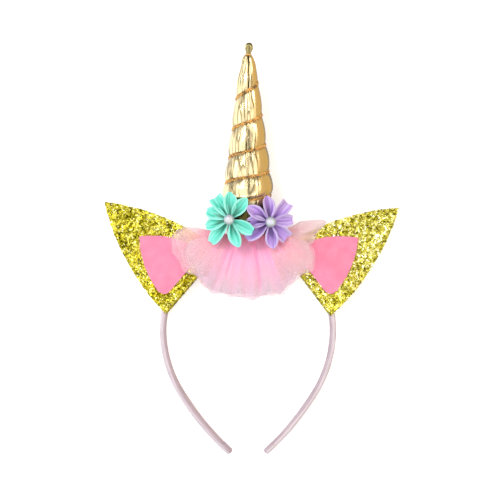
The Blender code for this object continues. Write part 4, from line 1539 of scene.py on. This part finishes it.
TULLE_TUFT_RIGHT = (
    (345.0, 0.74, 1.00, 0.20), (348.0, 0.88, 1.00, 0.20), (352.0, 0.95, 1.00, 0.30),
    (357.0, 0.95, 1.00, 0.40), (361.0, 1.00, 1.00, 0.40), (364.5, 1.09, 1.00, 0.30),
    (367.5, 1.13, 1.10, 0.20), (369.5, 1.00, 1.10, 0.20), (371.0, 0.74, 1.10, 0.20),
)
FAN_FOLDS = ((247.0, 0.85), (282.5, 1.0))  # sharp folds, sunk and with painted shade along them: their angle, and how far out they go


# ---- The flowers ----


@dataclass(frozen=True)
class Petal:
    """One petal: where it points and how its ribbon was folded."""

    angle: float  # degrees from the right, anticlockwise
    share: float  # its length as a share of the flower's reach
    cup: float = 1.0  # how far its edges are wrapped up
    blunt: float = 0.2  # 0 for a pointed tip, 1 for a square one
    lift: float = 0.0  # how far its tip is raised, in millimetres


TEAL_PETALS = (
    Petal(89, 1.00, 1.00, 0.3),
    Petal(50, 1.00, 1.00, 0.0),
    Petal(-25, 0.97, 0.45, 0.5, 1.8),
    Petal(-71, 1.04, 1.00, 0.1),
    Petal(-130, 1.08, 0.90, 0.5),
    Petal(-165, 0.93, 1.10, 0.3),
    Petal(159, 0.93, 1.10, 0.4),
    Petal(124, 1.00, 1.05, 1.0),
)
PURPLE_PETALS = (
    Petal(99, 0.94, 1.00, 0.2),
    Petal(46, 0.99, 0.75, 1.0),
    Petal(5, 0.87, 0.50, 0.6),
    Petal(-42, 0.90, 0.70, 1.0),
    Petal(-84, 0.96, 1.00, 0.1),
    Petal(-145, 1.02, 0.85, 0.4, -3.0),
    Petal(-179, 0.86, 0.95, 0.2, -2.0),
    Petal(148, 1.00, 0.95, 0.2),
)


@dataclass
class Flower:
    """A flower of folded ribbon: pointed petals, pinched at the root and cupped, round a pearl."""

    finish: Material
    pearl: Material
    name: str
    slot: Slot
    middle: Tuple[float, float, float]
    turn: float  # degrees that it faces to the right
    petals: Tuple[Petal, ...]
    seed: int
    reach: float = 20.0
    root: float = 2.2
    ribbon: float = 0.36
    half_width: float = 5.0
    pearl_size: float = 7.9
    pearl_lift: float = 3.9
    bore: float = 0.45
    roll: float = 11.0  # degrees by which one edge of a petal lies over the next petal

    def place(self, points: Array) -> Array:
        """Turns the flower's own places into the maker's frame.

        Args:
            points: the places, with Z away from the flower's back.

        Returns:
            The points.
        """
        x, y, z = np.moveaxis(points, -1, 0)
        z, x = rotate(z, x, math.radians(self.turn))
        return stacked(x, y, z) + np.array(self.middle)

    def petal_points(self, number: int) -> Tuple[Array, Array]:
        """The points of one petal, and their shades.

        Args:
            number: the petal's number, from 1.

        Returns:
            Rows of points from the root to the tip, and their shades.
        """
        petal = self.petals[number - 1]
        chance = np.random.default_rng(self.seed + number)
        rows, columns = 30, 33
        s = np.linspace(0.0, 1.0, rows)[:, None]
        a = np.linspace(-1.0, 1.0, columns)[None, :]
        # how wide it looks from above
        places = [0, 0.15, 0.35, 0.55, 0.72, 0.86, 0.95, 1]
        pointed = np.interp(s, places, [0.24, 0.5, 0.85, 1, 0.92, 0.62, 0.3, 0.03])
        square = np.interp(s, [0, 0.15, 0.35, 0.55, 0.86, 1], [0.24, 0.5, 0.85, 1.02, 1.05, 0.95])
        wide = self.half_width * (0.75 + 0.25 * petal.share) * (pointed + (square - pointed) * petal.blunt)
        # the walls of the hollow stand up, and its lips lie out flat
        steep = np.radians(np.interp(s, [0, 0.35, 0.55, 0.75, 0.9, 1], [84, 76, 66, 50, 32, 14])) * petal.cup
        slope = steep * ease(np.abs(a) / 0.6) * (1 - 0.8 * ease((np.abs(a) - 0.70) / 0.16))
        y, z = (np.cumsum(way, axis=1) for way in (np.cos(slope), np.sin(slope) * np.sign(a)))
        y, z = (way - way[:, columns // 2, None] for way in (y, z))
        scale = wide / y[:, -1:]
        y, z = y * scale, z * scale
        droop, curl = chance.uniform(0.4, 1.6), chance.uniform(-0.8, 0.8)
        x = self.root + (self.reach * petal.share - self.root) * s - 0.6 * np.abs(a) ** 2 * s * (1 - s)
        x = x + petal.blunt * s**6 * (chance.uniform(-0.9, 0.9) * a - 0.9 * (1 - np.abs(a)))
        z = z + (droop + petal.lift) * s**2 + curl * s**5
        ripple = hills(a * 3.2 + 0.4 * s, s * 1.7, self.seed + number)
        z = z + 0.30 * ripple * np.sin(math.pi * s)
        roll = math.radians(self.roll + chance.uniform(-4, 4))
        y, z = rotate(y, z - 1, roll)
        z = z + 1 + 0.25 * (number % 2)
        turn = math.radians(petal.angle + chance.uniform(-1.5, 1.5))
        points = stacked(*rotate(x, y, turn), z)
        # painted shade deep in the hollow by the root and along the middle crease, painted sheen in the streaks,
        # and a painted highlight on the lips
        deep = np.exp(-((s / 0.45) ** 2)) * (1 - 0.85 * a**2) * min(1.0, petal.cup**2)
        crease = 0.42 * np.exp(-((a / 0.13) ** 2)) * (1.1 - s) + 0.22 * (1 - a**2)
        streak = 0.34 * hills(a * 5.5, s * 1.1, self.seed + 30 + number) * (1 - 0.3 * s)
        painted_lip_highlight = 0.9 * ease((np.abs(a) - 0.70) / 0.14)
        return self.place(points), np.clip(deep + crease + streak - painted_lip_highlight, 0.0, 0.95)

    def build_petal(self, number: int) -> None:
        """Makes one petal.

        Args:
            number: the petal's number, from 1.
        """
        points, shade = self.petal_points(number)
        name = f"{self.name}_petal_{number}"
        piece = make_sheet(f"{name}_ribbon", points, shade, [self.finish])
        thicken(piece, self.ribbon, -1.0)
        soft = piece.modifiers.new("Soft", "SUBSURF")
        soft.levels = soft.render_levels = 1
        settle(piece, self.slot, name)
        declare_sheet(piece)

    def build_pearl(self) -> None:
        """Makes the pearl, a bead with a small bore."""
        around, rows, radius = 48, 30, self.pearl_size / 2
        edge = math.asin(self.bore / radius)
        tilt, angle = np.linspace(edge, math.pi - edge, rows)[:, None], round_angles(around)
        inner = np.array([[-1.0], [1.0]]) * (radius - 0.9)
        height = np.concatenate([radius * np.cos(tilt), inner])
        wide = np.concatenate([radius * np.sin(tilt), np.full((2, 1), self.bore)])
        x, y = rotate(height, wide * np.cos(angle), math.radians(35 + self.seed))
        points = self.place(stacked(x, y, wide * np.sin(angle) + self.pearl_lift))
        last = (rows + 1) * around
        faces = grid_faces(rows + 2, around, True)
        faces += [(last + j, last + (j + 1) % around, (j + 1) % around, j) for j in range(around)]
        piece = make_piece(f"{self.name}_pearl_bead", points, faces, [self.pearl])
        settle(piece, Slot.PEARL, f"{self.name}_pearl")

    def build(self) -> None:
        """Makes the petals and the pearl."""
        for number in range(1, len(self.petals) + 1):
            self.build_petal(number)
        self.build_pearl()


# ---- The studio ----


@dataclass
class Studio:
    """A pale floor, soft light from above and the left, and the camera straight above the headband."""

    view_width: float = 0.360  # metres across the picture
    height: float = 2.5
    look_at: Tuple[float, float] = (-0.00122, -0.00195)
    sensor: float = 36.0
    floor_half: float = 6.0
    ceiling: float = 1.1
    # degrees from straight above; the dark gaps between them draw lines along the horn
    panels: Tuple[Tuple[float, float], ...] = ((-65.0, -40.0), (-34.0, -7.0), (4.0, 24.0), (31.0, 60.0))
    panel_depth: float = 1.7
    panel_radiance: float = 1.36
    glint_depth: float = 2.4
    glint_radiance: float = 5.0
    glint_share: float = 0.72  # of its panel's width
    middle: float = 0.04  # how far up the picture the panels' middle is
    key_place: Tuple[float, float, float] = (-0.45, 0.5, 1.0)
    key_size: Tuple[float, float] = (0.14, 0.14)
    key_radiance: float = 38.0
    # a low light that gives the left edges their line of light
    rim_place: Tuple[float, float, float] = (-1.2, 0.0, -0.7)
    rim_size: Tuple[float, float] = (1.2, 3.0)
    rim_radiance: float = 0.95
    # the walls from left to right: white, grey above and below, and from 60 degrees on a warm reflector
    walls: Ramp = (
        (0.0, "FFFFFF"), (0.08, "F4F4F4"), (0.2, "A4A4A4"), (0.8, "9C9C9C"), (0.84, "E3C68C"), (1.0, "E3C68C"),
    )

    def build_floor(self) -> None:
        """Makes the floor."""
        count = 13
        places = np.linspace(-self.floor_half, self.floor_half, count) / MM
        points = stacked(places, places[:, None], -0.05) - ORIGIN
        table = LightTable("Opal_acrylic_lit_from_below", "F0F0F0").build()
        floor = make_piece("floor", points, grid_faces(count, count), [table])
        floor.visible_glossy = False

    def add_light(
        self,
        name: str,
        place: Sequence[float],
        size: Tuple[float, float],
        radiance: float,
        tilted: bool = False,
        only_glints: bool = False,
    ) -> None:
        """Adds one soft light.

        Args:
            name: its name.
            place: where it is, in metres.
            size: its width and depth in metres.
            radiance: how bright its face is, where 1 is a white floor in full light.
            tilted: whether it faces the headband instead of straight down.
            only_glints: whether it is seen only as a reflection.
        """
        data = bpy.data.lights.new(name, "AREA")
        data.shape = "RECTANGLE"
        data.size, data.size_y = size
        data.energy = radiance * math.pi * size[0] * size[1]
        light = bpy.data.objects.new(name, data)
        light.location = place
        if tilted:
            light.rotation_euler = (-Vector(place)).to_track_quat("-Z", "Y").to_euler()
        light.visible_camera = False
        light.visible_diffuse = not only_glints
        bpy.context.scene.collection.objects.link(light)

    def build_walls(self) -> None:
        """Makes the surroundings, whose light differs from left to right."""
        world = bpy.data.worlds.new("Studio")
        bpy.context.scene.world = world
        world.use_nodes = True
        rows = (
            *PLACE,
            ("apart", "SeparateXYZ", {}, {"Vector": "place.Generated"}),
            ("share", "MapRange", {"From Min": -1.0, "From Max": 1.0}, {"Value": "apart.X"}),
            ("colour", "ValToRGB", {"stops": self.walls}, {"Fac": "share.Result"}),
        )
        wire(world.node_tree, rows, world.node_tree.nodes["Background"], {"Color": "colour.Color"})

    def build(self) -> None:
        """Makes the floor, the lights, the walls and the camera."""
        self.build_floor()
        self.build_walls()
        for number, ends in enumerate(self.panels, 1):
            left, right = (self.ceiling * math.tan(math.radians(end)) for end in ends)
            place = ((left + right) / 2, self.middle, self.ceiling)
            self.add_light(f"Ceiling_{number}", place, (right - left, self.panel_depth), self.panel_radiance)
            glint = (self.glint_share * (right - left), self.glint_depth)
            self.add_light(f"Glint_{number}", place, glint, self.glint_radiance, only_glints=True)
        self.add_light("Key_spot", self.key_place, self.key_size, self.key_radiance, tilted=True)
        self.add_light("Rim_left", self.rim_place, self.rim_size, self.rim_radiance, tilted=True, only_glints=True)
        lens = bpy.data.cameras.new("Camera")
        lens.sensor_width = self.sensor
        lens.lens = self.sensor * self.height / self.view_width
        lens.clip_end = 50.0
        camera = bpy.data.objects.new("Camera", lens)
        camera.location = (*self.look_at, self.height)
        bpy.context.scene.collection.objects.link(camera)
        bpy.context.scene.camera = camera
        bpy.context.scene.view_settings.view_transform = "Standard"


def main() -> None:
    """Makes the studio and then the headband, piece by piece."""
    logging.basicConfig(level=logging.INFO, format="%(name)s %(message)s")
    Studio().build()
    finishes = Finishes()
    Band(finishes).build()
    Horn(finishes).build()
    Ear(finishes, "left", side=1, corner=(-58.7, 11.6), fold_angle=49.5, seed=101).build()
    # the right ear's flakes are drawn as a lit copy: painted light makes them lighter, and paler towards the tip
    glued = {"painted_lightness": 0.11, "pale": 0.9, "felt_move": (-3.0, -1.2)}
    Ear(finishes, "right", side=-1, corner=(59.2, 10.2), fold_angle=53.0, seed=202, **glued).build()
    layers = (
        ("tulle_back", finishes.tulle_side, 0, 0.12, 2, 301, TULLE_BACK, ()),
        ("tulle_fan", finishes.tulle, 1, 1.00, 2, 401, TULLE_FAN, FAN_FOLDS),
        ("tulle_lobe_left", finishes.tulle_side, 2, 0.80, 2, 501, TULLE_LOBE_LEFT, ()),
        ("tulle_lobe_right", finishes.tulle_side, 2, 0.80, 2, 601, TULLE_LOBE_RIGHT, ()),
        ("tulle_tuft_right", finishes.organza, 1, 0.30, 1, 701, TULLE_TUFT_RIGHT, ()),
    )
    for node, finish, step, puff, plies, seed, sections, folds in layers:
        TulleLayer(finish, node, step, puff, plies, seed, sections, folds).build()
    flowers = (
        ("teal", finishes.teal, Slot.TEAL, (-12.5, 79.1, 30.23), -14.0, TEAL_PETALS, 811),
        ("purple", finishes.purple, Slot.PURPLE, (15.2, 77.5, 29.63), 14.0, PURPLE_PETALS, 911),
    )
    for name, finish, slot, middle, turn, petals, seed in flowers:
        Flower(finish, finishes.pearl, name, slot, middle, turn, petals, seed).build()


if __name__ == "__main__":
    main()
